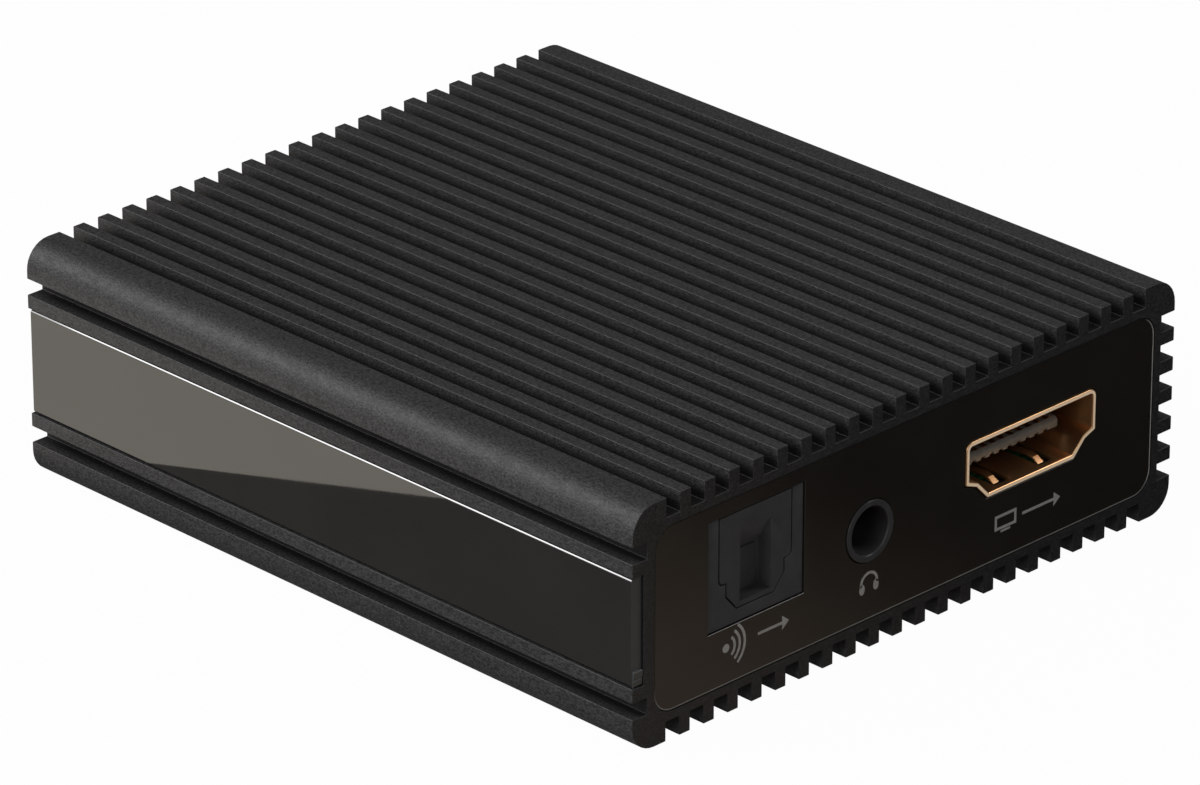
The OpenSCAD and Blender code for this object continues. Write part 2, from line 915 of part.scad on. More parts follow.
// The shutter: a flap with a ramped hollow in its face, on two barrels round the pin
module optical_shutter() {
    foot = shutter_foot;
    scoop_low = foot + scoop_foot_rise;
    scoop_high = shutter_head - scoop_head_drop;
    bulge = scoop_depth + scoop_wall;
    slope = scoop_roof_run / scoop_depth;
    bulge_high = scoop_high + scoop_wall;
    color(moulded_black) at_output(-optical_x) translate([0, optical_setback, 0]) difference() {
        union() {
            slab(0, shutter_thickness) polygon(shutter_outline(shutter_head));
            bar_of(2 * (scoop_half + scoop_wall)) polygon([
                [0, foot], [bulge, foot], [bulge, bulge_high - slope * bulge], [0, bulge_high]
            ]);
            for (side = [-1, 1]) {
                start = side < 0 ? -shutter_half : spring_pocket_half;
                translate([start, hinge_inset, hinge_z]) rotate([0, 90, 0]) {
                    cylinder(r = barrel_radius, h = shutter_half - spring_pocket_half);
                }
            }
        }
        bar_of(2 * scoop_half) polygon([
            [-cut, scoop_low], [scoop_depth, scoop_low],
            [scoop_depth, scoop_high - slope * scoop_depth], [-cut, scoop_high + slope * cut]
        ]);
        translate([-shutter_half - cut, hinge_inset, hinge_z]) rotate([0, 90, 0]) {
            cylinder(r = shutter_pin_radius + hinge_gap, h = shutter_width + 2 * cut);
        }
        translate([-spring_pocket_half, hinge_inset, hinge_z]) rotate([0, 90, 0]) {
            cylinder(r = spring_pocket_radius, h = 2 * spring_pocket_half);
        }
    }
}

module shutter_pin() {
    reach = shutter_half + shutter_gap + pin_seat;
    color(steel) at_output(-optical_x) translate([-reach, optical_setback + hinge_inset, hinge_z]) {
        rotate([0, 90, 0]) cylinder(r = shutter_pin_radius, h = 2 * reach);
    }
}

// The spring's middle line: x, angle round the pin, and height above the pin for its legs
function spring_stations() = concat(
    [[-spring_half, 0, -spring_leg_down]],
    [for (i = [0 : spring_turns * spring_steps])
        [-spring_half + 2 * spring_half * i / (spring_turns * spring_steps), 360 * i / spring_steps, 0]],
    [[spring_half, 0, spring_leg_up]]
);

// The points of the spring's rings, each square to the wire
function spring_points(stations) = [
    for (s = stations, j = [0 : spring_sides - 1])
        let (around = 360 * j / spring_sides)
        let (reach = spring_radius + spring_wire / 2 * cos(around))
        [s[0] + spring_wire / 2 * sin(around), reach * cos(s[1]), reach * sin(s[1]) + s[2]]
];

// The triangles between neighbouring rings, and the two ends
function spring_faces(rings) = concat(
    [for (i = [0 : rings - 2], j = [0 : spring_sides - 1])
        let (k = (j + 1) % spring_sides)
        [i * spring_sides + j, i * spring_sides + k, (i + 1) * spring_sides + k]],
    [for (i = [0 : rings - 2], j = [0 : spring_sides - 1])
        let (k = (j + 1) % spring_sides)
        [i * spring_sides + j, (i + 1) * spring_sides + k, (i + 1) * spring_sides + j]],
    [for (j = [1 : spring_sides - 2]) [0, j + 1, j]],
    [for (j = [1 : spring_sides - 2])
        [(rings - 1) * spring_sides, (rings - 1) * spring_sides + j, (rings - 1) * spring_sides + j + 1]]
);

// The wound spring that closes the shutter
module shutter_spring() {
    stations = spring_stations();
    color(steel) at_output(-optical_x) translate([0, optical_setback + hinge_inset, hinge_z]) {
        polyhedron(points = spring_points(stations), faces = spring_faces(len(stations)));
    }
}

module optical_emitter() {
    axis_z = optical_bottom + optical_axis_rise;
    color(chip_black) at_output(-optical_x) translate([0, optical_setback, 0]) {
        block(emitter_width, emitter_start, emitter_thickness, axis_z - emitter_height / 2, emitter_height);
        translate([0, emitter_start, axis_z]) sphere(r = emitter_lens_radius);
    }
}

module optical_emitter_leads() {
    top = optical_bottom + optical_axis_rise - emitter_height / 2;
    color(tin) at_output(-optical_x) {
        for (i = [-1 : 1]) {
            translate([i * lead_pitch, 0, 0]) {
                block(lead_size, lead_depth() - lead_size / 2, lead_size,
                    board_bottom - lead_reach, top - board_bottom + lead_reach);
            }
        }
    }
}

// Which side of the hole a headphone contact is on, and how far out
function jack_contact_side(i) = i % 2 == 0 ? -1 : 1;
function jack_contact_x() = jack_bore_radius + jack_contact_gap + jack_contact_thickness / 2;

module headphone_socket() {
    body_length = jack_bore_depth + jack_back_wall - jack_body_start;
    slot = jack_contact_thickness + 2 * jack_contact_gap;
    color(moulded_black) at_output(-jack_x) difference() {
        union() {
            round_bar(jack_nose_radius, 0, jack_body_start + jack_body_gap, jack_z);
            block(jack_body_width, jack_body_start, body_length, board_top, jack_body_height);
        }
        round_bar(jack_bore_radius, -cut, jack_bore_depth + cut, jack_z);
        translate([0, 0, jack_z]) rotate([-90, 0, 0]) {
            cylinder(r1 = jack_mouth_radius, r2 = jack_bore_radius, h = jack_mouth_depth);
        }
        // Each contact stands in a slot beside the hole and shows through a window in its wall
        for (i = [0 : len(jack_contact_places) - 1]) {
            start = jack_contact_places[i] - jack_contact_width / 2 - jack_contact_gap;
            length = jack_contact_width + 2 * jack_contact_gap;
            translate([jack_contact_side(i) * jack_contact_x(), 0, 0]) {
                block(slot, start, length, board_top - cut, jack_rise + jack_slot_half_height + cut);
            }
            translate([jack_contact_side(i) * jack_contact_x() / 2, 0, 0]) {
                block(jack_contact_x(), start, length,
                    jack_z - jack_slot_half_height, 2 * jack_slot_half_height);
            }
        }
    }
}

module headphone_contacts() {
    color(tin) at_output(-jack_x) {
        for (i = [0 : len(jack_contact_places) - 1]) {
            translate([jack_contact_side(i) * jack_contact_x(), jack_contact_places[i], 0]) {
                block(jack_contact_thickness, -jack_contact_width / 2, jack_contact_width,
                    board_top, jack_rise + jack_slot_half_height);
                block(jack_contact_thickness, -jack_tail_width / 2, jack_tail_width,
                    board_bottom - lead_reach, board_thickness + lead_reach);
            }
        }
    }
}

// Depths of the power socket's tails
function power_body_end() = power_nose_start + power_bore_depth + power_back_wall;
function power_pin_tail() = power_body_end() + power_pin_radius;
function power_contact_tail() = power_nose_start + power_bore_depth / 2 + power_contact_length / 2;

module power_socket() {
    body_start = plate_back + power_body_gap;
    color(moulded_black) at_input(-power_x) difference() {
        union() {
            round_bar(power_nose_radius, power_nose_start, body_start, power_z);
            block(power_body_width, body_start, power_body_end() - body_start,
                board_top, power_body_height);
        }
        round_bar(power_bore_radius, power_nose_start - cut, power_bore_depth + cut, power_z);
        round_bar(power_pin_radius, power_bore_depth, power_body_end(), power_z);
        // The slot under the hole for the outer contact
        block(power_contact_width + 2 * hole_gap,
            power_contact_tail() - power_contact_length - hole_gap, power_contact_length + 2 * hole_gap,
            board_top - cut, power_rise + cut);
    }
}

module power_pin() {
    tail = power_pin_tail();
    shank_start = power_pin_start + power_pin_tip;
    color(tin) at_input(-power_x) {
        round_bar(power_pin_radius, shank_start, tail - shank_start, power_z);
        translate([0, power_pin_start, power_z]) rotate([-90, 0, 0]) {
            cylinder(r1 = power_pin_radius - power_pin_tip, r2 = power_pin_radius, h = power_pin_tip);
        }
        translate([0, tail, board_bottom - lead_reach]) {
            cylinder(r = power_pin_radius, h = power_z + power_pin_radius - board_bottom + lead_reach);
        }
    }
}

module power_contact() {
    tail = power_contact_tail();
    top = power_z - power_bore_radius;
    color(tin) at_input(-power_x) {
        block(power_contact_width, tail - power_contact_length, power_contact_length,
            top - power_contact_thickness, power_contact_thickness);
        block(power_contact_width / 2, tail - power_contact_thickness, power_contact_thickness,
            board_bottom - lead_reach, top - board_bottom + lead_reach);
    }
}

// Places of the switch's terminals
function terminal_depth() = switch_start + switch_depth / 2;
function terminal_x(i) = (i - (terminal_count - 1) / 2) * terminal_pitch;

// The bent metal cover of the mode switch, with the slot that the knob runs in
module mode_switch_cover() {
    inside = switch_width - 2 * switch_sheet;
    slot_width = knob_size + 2 * (switch_travel + knob_gap);
    color(steel) at_input(-switch_x) difference() {
        block(switch_width, switch_start, switch_depth, board_top, switch_height);
        block(inside, switch_start + switch_sheet, switch_depth,
            board_top - cut, switch_height - switch_sheet + cut);
        block(slot_width, switch_start - cut, switch_sheet + 2 * cut,
            board_top + switch_rise - knob_size / 2 - knob_gap, knob_size + 2 * knob_gap);
    }
}

// The moulded base, which closes the cover's back and underside
module mode_switch_base() {
    inside = switch_width - 2 * switch_sheet;
    start = switch_start + switch_sheet;
    length = switch_depth - switch_sheet;
    color(moulded_black) at_input(-switch_x) {
        block(inside, start, length, board_top, switch_floor);
        block(inside, start + length - switch_back, switch_back, board_top, switch_height - switch_sheet);
    }
}

// The sliding carriage with its knob
module mode_switch_slider() {
    start = switch_start + switch_sheet + switch_gap;
    length = switch_depth - switch_sheet - switch_back - 2 * switch_gap;
    low = board_top + switch_floor + switch_gap;
    high = board_top + switch_height - switch_sheet - switch_gap;
    color(moulded_black) at_input(-switch_x) {
        block(2 * slider_half, start, length, low, high - low);
        block(knob_size, knob_end, start - knob_end + length / 2,
            board_top + switch_rise - knob_size / 2, knob_size);
    }
}

module mode_switch_terminals() {
    color(tin) at_input(-switch_x) {
        for (i = [0 : terminal_count - 1]) {
            translate([terminal_x(i), 0, 0]) {
                block(terminal_size, terminal_depth() - terminal_size / 2, terminal_size,
                    board_bottom - lead_reach, board_thickness + lead_reach);
            }
        }
    }
}

// The status light: a clear round light with a domed end
module status_light() {
    color(light_green) at_input(-light_x) {
        round_bar(light_radius, light_front + light_radius, light_length - light_radius, light_z);
        translate([0, light_front + light_radius, light_z]) sphere(r = light_radius);
    }
}

module status_light_holder() {
    color(moulded_black) at_input(-light_x) difference() {
        block(holder_width, holder_start, holder_length, board_top, holder_height);
        round_bar(light_radius + light_gap, holder_start - cut, holder_length + 2 * cut, light_z);
    }
}

// One bent lead: a shoulder out of the chip and a foot on the board, pointing along +x
module chip_lead(shoulder, width) {
    reach = chip_lead_reach / 2;
    translate([0, -width / 2, shoulder]) cube([reach, width, chip_lead_thickness]);
    translate([reach - chip_lead_thickness, -width / 2, 0]) cube([chip_lead_thickness, width, shoulder]);
    translate([reach - chip_lead_thickness, -width / 2, 0]) cube([reach, width, chip_lead_thickness]);
}

// A chip's leads on two or four sides
module lead_rows(size, count, pitch, sides) {
    for (side = [0 : sides - 1]) {
        turn = sides == 4 ? 90 * side : 90 + 180 * side;
        reach = sides == 4 ? size[side % 2] / 2 : size[1] / 2;
        rotate([0, 0, turn]) {
            for (i = [0 : count - 1]) {
                translate([reach, (i - (count - 1) / 2) * pitch, 0]) {
                    chip_lead(size[2] / 2, chip_lead_width);
                }
            }
        }
    }
}

// What hangs under the board, drawn as if it stood on it
module under_board(shares) {
    translate(board_place(shares)) translate([0, 0, board_bottom]) mirror([0, 0, 1]) children();
}

module on_board(shares) {
    translate(board_place(shares)) translate([0, 0, board_top]) children();
}

module chip_body(size) {
    translate([-size[0] / 2, -size[1] / 2, chip_standoff]) cube(size);
}

module video_chip() {
    color(chip_black) under_board(video_chip_shares) chip_body(video_chip_size);
}

module video_chip_leads() {
    color(tin) under_board(video_chip_shares) {
        lead_rows(video_chip_size, video_lead_count, video_lead_pitch, 4);
    }
}

module audio_chip() {
    color(chip_black) on_board(audio_chip_shares) chip_body(audio_chip_size);
}

module audio_chip_leads() {
    color(tin) on_board(audio_chip_shares) {
        lead_rows(audio_chip_size, audio_lead_count, audio_lead_pitch, 2);
    }
}

// A flat metal can with a raised lid
module clock_crystal() {
    lid = [crystal_size[0] - 2 * crystal_lid_inset, crystal_size[1] - 2 * crystal_lid_inset];
    base = crystal_size[2] - crystal_lid_height;
    color(can_silver) on_board(crystal_shares) {
        block(crystal_size[0], -crystal_size[1] / 2, crystal_size[1], 0, base);
        block(lid[0], -lid[1] / 2, lid[1], base, crystal_lid_height);
    }
}

// A shielded coil: a square block with a dished top round its core
module power_inductor() {
    color(chip_black) on_board(inductor_shares) difference() {
        translate([-inductor_size[0] / 2, -inductor_size[1] / 2, 0]) cube(inductor_size);
        translate([0, 0, inductor_size[2] - inductor_top_dip]) difference() {
            cylinder(r = inductor_size[0] / 2 - inductor_top_dip, h = inductor_top_dip + cut);
            cylinder(r = inductor_core_radius, h = inductor_top_dip + cut);
        }
    }
}

// A regulator with a wide tab behind and three leads in front
module voltage_regulator() {
    lead_out = regulator_size[1] / 2;
    color(chip_black) on_board(regulator_shares) {
        block(regulator_size[0], -lead_out, regulator_size[1], 0, regulator_size[2]);
        block(regulator_tab[0], lead_out, regulator_tab[1], 0, regulator_tab[2]);
        for (i = [-1 : 1]) {
            translate([i * regulator_lead_pitch, 0, 0]) {
                block(regulator_lead_width, -lead_out - regulator_tab[1], regulator_tab[1],
                    0, regulator_tab[2]);
            }
        }
    }
}

// Upright cans on square bases, each with a rolled neck
module electrolytic_capacitors() {
    can_start = capacitor_base_height + 2 * capacitor_neck_height;
    color(can_silver) {
        for (shares = capacitor_shares) {
            on_board(shares) {
                translate([-capacitor_base / 2, -capacitor_base / 2, 0]) {
                    cube([capacitor_base, capacitor_base, capacitor_base_height]);
                }
                cylinder(r = capacitor_neck_radius, h = can_start + capacitor_neck_height);
                translate([0, 0, capacitor_base_height]) {
                    cylinder(r = capacitor_radius, h = capacitor_neck_height);
                }
                translate([0, 0, can_start]) {
                    cylinder(r = capacitor_radius, h = capacitor_height - can_start);
                }
            }
        }
    }
}

// A row of small capacitors behind each video socket
module ceramic_capacitors() {
    row_y = ceramic_row_share * board_length / 2;
    color(ceramic_tan) {
        for (row = [[output_x, -row_y], [input_x, row_y]], i = [0 : ceramic_count - 1]) {
            translate([row[0] + (i - (ceramic_count - 1) / 2) * ceramic_pitch, row[1], 0]) {
                block(ceramic_size[0], -ceramic_size[1] / 2, ceramic_size[1], board_top, ceramic_size[2]);
            }
        }
    }
}

finned_case();
side_strip();
output_face();
output_plate();
output_plate_screws();
input_face();
input_plate();
input_plate_screws();
circuit_board();
thermal_pad();
video_output_shell();
video_output_tongue();
video_output_contacts();
video_input_shell();
video_input_tongue();
video_input_contacts();
optical_housing();
optical_shutter();
shutter_pin();
shutter_spring();
optical_emitter();
optical_emitter_leads();
headphone_socket();
headphone_contacts();
power_socket();
power_pin();
power_contact();
mode_switch_cover();
mode_switch_base();
mode_switch_slider();
mode_switch_terminals();
status_light();
status_light_holder();
video_chip();
video_chip_leads();
audio_chip();
audio_chip_leads();
clock_crystal();
power_inductor();
voltage_regulator();
electrolytic_capacitors();
ceramic_capacitors();
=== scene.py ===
# %% [markdown]
# # An audio extractor in a finned metal case
#
# The real object is a small black box that passes a picture signal on and takes the sound out of it. Its
# case is one aluminium extrusion with cooling fins, its ends are polished panels, and the sockets come out
# through them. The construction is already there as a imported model. This script loads it and gives every
# piece its finish: pieces whose shape is right get a material, and the pieces that the eye meets get
# rounded edges as well, because a real edge always catches a thin line of light.

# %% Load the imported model
import math

import bmesh
import bpy
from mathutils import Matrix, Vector


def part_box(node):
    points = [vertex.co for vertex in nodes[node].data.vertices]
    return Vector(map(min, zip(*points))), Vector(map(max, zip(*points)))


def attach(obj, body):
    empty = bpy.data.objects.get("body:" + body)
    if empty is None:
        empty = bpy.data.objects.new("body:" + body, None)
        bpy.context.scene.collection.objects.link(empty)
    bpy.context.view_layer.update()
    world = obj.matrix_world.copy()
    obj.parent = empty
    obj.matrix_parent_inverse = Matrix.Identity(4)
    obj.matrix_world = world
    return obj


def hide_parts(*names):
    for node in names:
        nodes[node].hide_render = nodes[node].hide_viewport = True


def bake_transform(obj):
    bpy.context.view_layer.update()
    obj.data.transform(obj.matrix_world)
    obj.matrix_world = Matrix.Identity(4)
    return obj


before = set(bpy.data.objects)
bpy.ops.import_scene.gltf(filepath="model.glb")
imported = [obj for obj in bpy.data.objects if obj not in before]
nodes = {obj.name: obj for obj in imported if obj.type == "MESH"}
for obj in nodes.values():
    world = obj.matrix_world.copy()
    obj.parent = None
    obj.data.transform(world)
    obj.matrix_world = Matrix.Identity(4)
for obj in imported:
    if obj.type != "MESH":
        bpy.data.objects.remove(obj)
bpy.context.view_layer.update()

MM = 0.001
print("pieces in the packed model:", len(nodes))

# %% [markdown]
# ## The camera
#
# The photograph was taken from in front of the left corner, a little above the box, with a long lens. The
# edges of the box gave its direction and distance, so the camera is set from those four numbers and needs
# no shift.

# %% Camera
view_azimuth = math.radians(-44.70)
view_elevation = math.radians(25.17)
camera_place = Vector((-405.87, -410.32, 280.10)) * MM
lens_mm = 237.66

camera_data = bpy.data.cameras.new("camera")
camera_data.lens = lens_mm
camera_data.sensor_width = 36
camera = bpy.data.objects.new("camera", camera_data)
camera.location = camera_place
camera.rotation_euler = (math.pi / 2 - view_elevation, 0, view_azimuth)
bpy.context.scene.collection.objects.link(camera)
bpy.context.scene.camera = camera

# %% [markdown]
# ## Helpers for materials
#
# Colours are written as the hex numbers that a painter's tool shows, and one function turns them into the
# linear values that Blender works with. A second function adds any shader or geometry node with its
# settings and its links, so that a whole material reads as a short list.

# %% Colours and nodes
def linear(colour):
    """An sRGB hex colour as linear red, green, blue and an alpha of 1."""
    parts = [int(colour[i:i + 2], 16) / 255 for i in (1, 3, 5)]
    return [p / 12.92 if p <= 0.04045 else ((p + 0.055) / 1.055) ** 2.4 for p in parts] + [1.0]


def add_node(tree, kind, inputs=None, **settings):
    """Adds a node. Settings are its own properties. Inputs are values, or outputs of other nodes to link."""
    node = tree.nodes.new(kind)
    for name, value in settings.items():
        setattr(node, name, value)
    for key, value in (inputs or {}).items():
        if isinstance(value, bpy.types.NodeSocket):
            tree.links.new(value, node.inputs[key])
        else:
            node.inputs[key].default_value = value
    return node


def grain(tree, place, size_mm, low, high, stretch=(1, 1, 1), detail=2.0):
    """A cloudy pattern with grains of a real size, as a number from low to high."""
    spot = add_node(tree, "ShaderNodeMapping", {"Vector": place, "Scale": stretch})
    noise = add_node(tree, "ShaderNodeTexNoise", {
        "Vector": spot.outputs["Vector"], "Scale": 1 / (size_mm * MM), "Detail": detail})
    spread = add_node(tree, "ShaderNodeMapRange", {
        "Value": noise.outputs[0], "From Min": 0.3, "From Max": 0.7, "To Min": low, "To Max": high})
    return spread.outputs["Result"]


# %% [markdown]
# A finish has four things that the eye reads: a colour that is never quite even, a gloss that varies a
# little, a relief too fine to see as a shape, and what the surface is made of. This function builds that
# common part. The sizes of the grains are in millimetres on the real object. Where a real grain is finer
# than the picture can show, it is drawn as coarse as it needs to be, and the comment on that material says
# so.

# %% A finish
def finish(name, colours, gloss, tint_mm, relief_mm, relief_depth_mm, stretch=(1, 1, 1), **surface):
    """A material whose colour and roughness vary between two values, with a fine relief."""
    material = bpy.data.materials.new(name)
    material.use_nodes = True
    tree = material.node_tree
    tree.nodes.clear()
    shader = add_node(tree, "ShaderNodeBsdfPrincipled", {
        key.replace("_", " ").title().replace("Ior", "IOR"): value for key, value in surface.items()})
    add_node(tree, "ShaderNodeOutputMaterial", {"Surface": shader.outputs["BSDF"]})
    place = add_node(tree, "ShaderNodeTexCoord").outputs["Object"]
    tint = add_node(tree, "ShaderNodeMix", {
        "Factor": grain(tree, place, tint_mm, 0, 1, stretch),
        6: linear(colours[0]), 7: linear(colours[1])}, data_type="RGBA")
    tree.links.new(tint.outputs[2], shader.inputs["Base Color"])
    # Gloss changes in patches that are three times as wide as the grains of the relief
    patches = grain(tree, place, relief_mm * 3, gloss[0], gloss[1], stretch)
    tree.links.new(patches, shader.inputs["Roughness"])
    relief = add_node(tree, "ShaderNodeBump", {
        "Height": grain(tree, place, relief_mm, 0, 1, stretch, 3.0),
        "Distance": relief_depth_mm * MM, "Strength": 1.0})
    tree.links.new(relief.outputs["Normal"], shader.inputs["Normal"])
    return material


# %% [markdown]
# Some finishes change from place to place on a piece, where a tool has cut it or where light can't reach. A
# share from 0 to 1 then says how far a place has changed, and three short steps serve all of these
# finishes.

# %% A finish that changes from place to place
def axes_of(material):
    """The three coordinates of a place on a piece."""
    place = add_node(material.node_tree, "ShaderNodeTexCoord").outputs["Object"]
    return add_node(material.node_tree, "ShaderNodeSeparateXYZ", {0: place}).outputs


def out_along_y(material):
    """How far a place is from the middle of the box, along Y."""
    along = axes_of(material)["Y"]
    return add_node(material.node_tree, "ShaderNodeMath", {0: along}, operation="ABSOLUTE").outputs[0]


def tint_by(material, share, colour):
    """Blends a material's colour towards another by a share."""
    tree = material.node_tree
    base = tree.nodes["Principled BSDF"].inputs["Base Color"]
    tint = add_node(tree, "ShaderNodeMix", {
        "Factor": share, 6: base.links[0].from_socket, 7: linear(colour)}, data_type="RGBA")
    tree.links.new(tint.outputs[2], base)


# %% [markdown]
# ## The materials
#
# Each one is named for what the real surface is and how it was made.

# %% Metals
# Aluminium, extruded, blasted and dyed black: a soft sheen over a fine grain of dark pits and paler ridges,
# slightly drawn out along the fins. The real grain is about 0.04 mm and is drawn four times as coarse.
anodised_aluminium = finish(
    "anodised_aluminium", ("#121213", "#353536"), (0.5, 0.6), 0.16, 0.16, 0.014,
    stretch=(1, 0.6, 1), ior=1.5, specular_IOR_level=0.4)
# Aluminium sheet, dyed black as well, for the hidden plates
anodised_sheet = finish(
    "anodised_sheet", ("#2b2b2e", "#333336"), (0.4, 0.5), 1.5, 0.12, 0.003, metallic=0.6)
# Steel sheet, bent and plated with nickel and a flash of gold: a soft warm shine
gold_flash = finish(
    "gold_flash", ("#d9a878", "#e3b687"), (0.34, 0.44), 1.6, 0.2, 0.0006, metallic=1.0)
# Contacts with a thicker, brighter plating
contact_plating = finish(
    "contact_plating", ("#e3b873", "#edc684"), (0.18, 0.28), 0.5, 0.06, 0.0008, metallic=1.0)
zinc_plated_steel = finish(
    "zinc_plated_steel", ("#9a9b9c", "#aeb0b2"), (0.28, 0.42), 0.6, 0.08, 0.0015, metallic=1.0)
drawn_steel_wire = finish(
    "drawn_steel_wire", ("#a4a5a6", "#b9babb"), (0.2, 0.3), 0.3, 0.04, 0.0008, (0.2, 1, 1), metallic=1.0)
tinned_bronze = finish(
    "tinned_bronze", ("#b4b6b8", "#c4c6c8"), (0.25, 0.4), 0.5, 0.07, 0.0015, metallic=1.0)
nickel_sheet = finish(
    "nickel_sheet", ("#aaa9a5", "#bbbab6"), (0.22, 0.34), 0.8, 0.08, 0.0012, metallic=1.0)
drawn_aluminium_can = finish(
    "drawn_aluminium_can", ("#b2b5b8", "#c4c7ca"), (0.25, 0.38), 0.7, 0.07, 0.0012, (1, 1, 0.2), metallic=1.0)

# %% Plastics and the rest
# Acrylic sheet, cast and polished: black all through, a mirror with a hint of waviness
polished_acrylic = finish(
    "polished_acrylic", ("#161412", "#1a1816"), (0.03, 0.06), 6.0, 2.5, 0.0006, ior=1.49,
    specular_IOR_level=0.75)
# The same sheet where a saw cut it: frosted and paler, with painted light and shade added further down
frosted_edge_painted_light = finish(
    "frosted_edge_painted_light", ("#7e7b77", "#8c8985"), (0.5, 0.6), 0.6, 0.1, 0.001, ior=1.49)
strip_acrylic = finish(
    "strip_acrylic", ("#141311", "#191816"), (0.02, 0.045), 8.0, 4.0, 0.0008, ior=1.52,
    specular_IOR_level=0.9)
# Black plastic, moulded in a spark-eroded tool, which leaves a satin with a very fine grain
moulded_black = finish(
    "moulded_black", ("#2a2a2c", "#303032"), (0.5, 0.6), 1.2, 0.08, 0.003, ior=1.53,
    specular_IOR_level=0.3)
# The same plastic from a smoother tool, as on the collar of a round socket
satin_moulding = finish(
    "satin_moulding", ("#2b2b2c", "#313132"), (0.22, 0.28), 1.0, 0.1, 0.0012, ior=1.53,
    specular_IOR_level=0.25)
moulded_nylon = finish(
    "moulded_nylon", ("#5a5650", "#68635b"), (0.35, 0.48), 0.6, 0.06, 0.002, ior=1.53)
moulded_epoxy = finish(
    "moulded_epoxy", ("#191a1b", "#202122"), (0.5, 0.65), 0.8, 0.06, 0.003, ior=1.55)
fired_ceramic = finish(
    "fired_ceramic", ("#8f7452", "#a88b66"), (0.35, 0.5), 0.3, 0.05, 0.0015, ior=1.6)
silicone_pad = finish(
    "silicone_pad", ("#8a949e", "#97a1aa"), (0.55, 0.7), 0.7, 0.1, 0.004, ior=1.41)
# Lacquer printed through a screen: flat grey with a slightly uneven edge of gloss
screen_print = finish(
    "screen_print", ("#72706d", "#817f7b"), (0.45, 0.6), 0.3, 0.05, 0.0006, ior=1.5)
clear_epoxy = finish(
    "clear_epoxy", ("#cfe8d2", "#dff2e0"), (0.05, 0.12), 1.0, 0.3, 0.0005, ior=1.54,
    transmission_weight=0.7)

# %% [markdown]
# The video shells are punched from sheet, and their front edge is where the punch cut it. A cut edge is
# rough and scatters light, so it looks pale from every side, while the faces beside it stay dark and
# mirror-like. The material finds that edge by its distance from the middle of the box.

# %% The cut edge of the gold shells
gold_tree = gold_flash.node_tree
shell_front = -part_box("video_output_shell")[0].y
cut_edge = add_node(gold_tree, "ShaderNodeMapRange", {
    "Value": out_along_y(gold_flash), "From Min": shell_front - 0.014 * MM,
    "From Max": shell_front - 0.006 * MM}).outputs["Result"]
gold_inputs = gold_tree.nodes["Principled BSDF"].inputs
for name, on_faces, on_edge in (("Metallic", 1.0, 0.1), ("Roughness", 0.32, 0.55)):
    level = add_node(gold_tree, "ShaderNodeMapRange", {
        "Value": cut_edge, "To Min": on_faces, "To Max": on_edge})
    gold_tree.links.new(level.outputs["Result"], gold_inputs[name])
tint_by(gold_flash, cut_edge, "#f0d4b2")

# %% [markdown]
# Little light gets down between the fins, so their roots get painted shade and are painted darker than
# their tops. How deep a place lies is its distance inside the case's rounded outline, which is that of a
# rectangle with round corners. The sawn ends get painted shade too, one share from the tops to the roots.

# %% Painted shade at the fin roots and on the sawn ends
case_tone = anodised_aluminium.node_tree


def tone_math(operation, first, second=0.0):
    """One step of arithmetic in the case's material."""
    return add_node(case_tone, "ShaderNodeMath", {0: first, 1: second}, operation=operation).outputs[0]


case_low, case_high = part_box("finned_case")
case_size = case_high - case_low
corner_radius = 2.3 * MM
tone_axes = axes_of(anodised_aluminium)
across = tone_math("SUBTRACT", tone_math("ABSOLUTE", tone_axes["X"]), case_size.x / 2 - corner_radius)
from_middle = tone_math("SUBTRACT", tone_axes["Z"], (case_low.z + case_high.z) / 2)
upwards = tone_math("SUBTRACT", tone_math("ABSOLUTE", from_middle), case_size.z / 2 - corner_radius)
corner_part = tone_math("SQRT", tone_math(
    "ADD", tone_math("POWER", tone_math("MAXIMUM", across, 0.0), 2.0),
    tone_math("POWER", tone_math("MAXIMUM", upwards, 0.0), 2.0)))
flat_part = tone_math("MINIMUM", tone_math("MAXIMUM", across, upwards), 0.0)
depth_inside = tone_math("SUBTRACT", corner_radius, tone_math("ADD", corner_part, flat_part))
light_depth = 0.3 * MM
dark_depth = 1.15 * MM
# Painted shade: from 0.3 mm to 1.15 mm inside the outline the metal is painted towards near black.
painted_root_shade = add_node(case_tone, "ShaderNodeMapRange", {
    "Value": depth_inside, "From Min": light_depth, "From Max": dark_depth}).outputs["Result"]
# Painted shade on the sawn ends: this share of near black, the same all over them.
painted_end_shade = 0.52
case_end = case_size.y / 2
end_share = add_node(case_tone, "ShaderNodeMapRange", {
    "Value": tone_math("ABSOLUTE", tone_axes["Y"]), "From Min": case_end - 0.08 * MM,
    "From Max": case_end - 0.03 * MM}).outputs["Result"]
over_share = tone_math("MULTIPLY", end_share, tone_math("SUBTRACT", painted_end_shade, painted_root_shade))
tint_by(anodised_aluminium, tone_math("ADD", painted_root_shade, over_share), "#040404")
print("case, mm:", [round(v / MM, 2) for v in case_size])

# %% [markdown]
# Two more black parts change along their depth. The strip is polished on its face and left rough where it
# was sawn to length. The collar of the headphone socket is smooth outside, and its bore is matt and
# painted nearly black a little way in, as painted shade inside the hole.

# %% Sawn strip, and matt bore with painted shade
def change_by_depth(material, start_mm, end_mm, colour, roughness):
    """Blends a material's colour and roughness to others between two distances from the middle, along Y."""
    tree = material.node_tree
    share = add_node(tree, "ShaderNodeMapRange", {
        "Value": out_along_y(material), "From Min": start_mm * MM, "From Max": end_mm * MM}).outputs["Result"]
    tint_by(material, share, colour)
    gloss = tree.nodes["Principled BSDF"].inputs["Roughness"]
    dulled = add_node(tree, "ShaderNodeMix", {
        "Factor": share, 2: gloss.links[0].from_socket, 3: roughness}, data_type="FLOAT")
    tree.links.new(dulled.outputs[0], gloss)


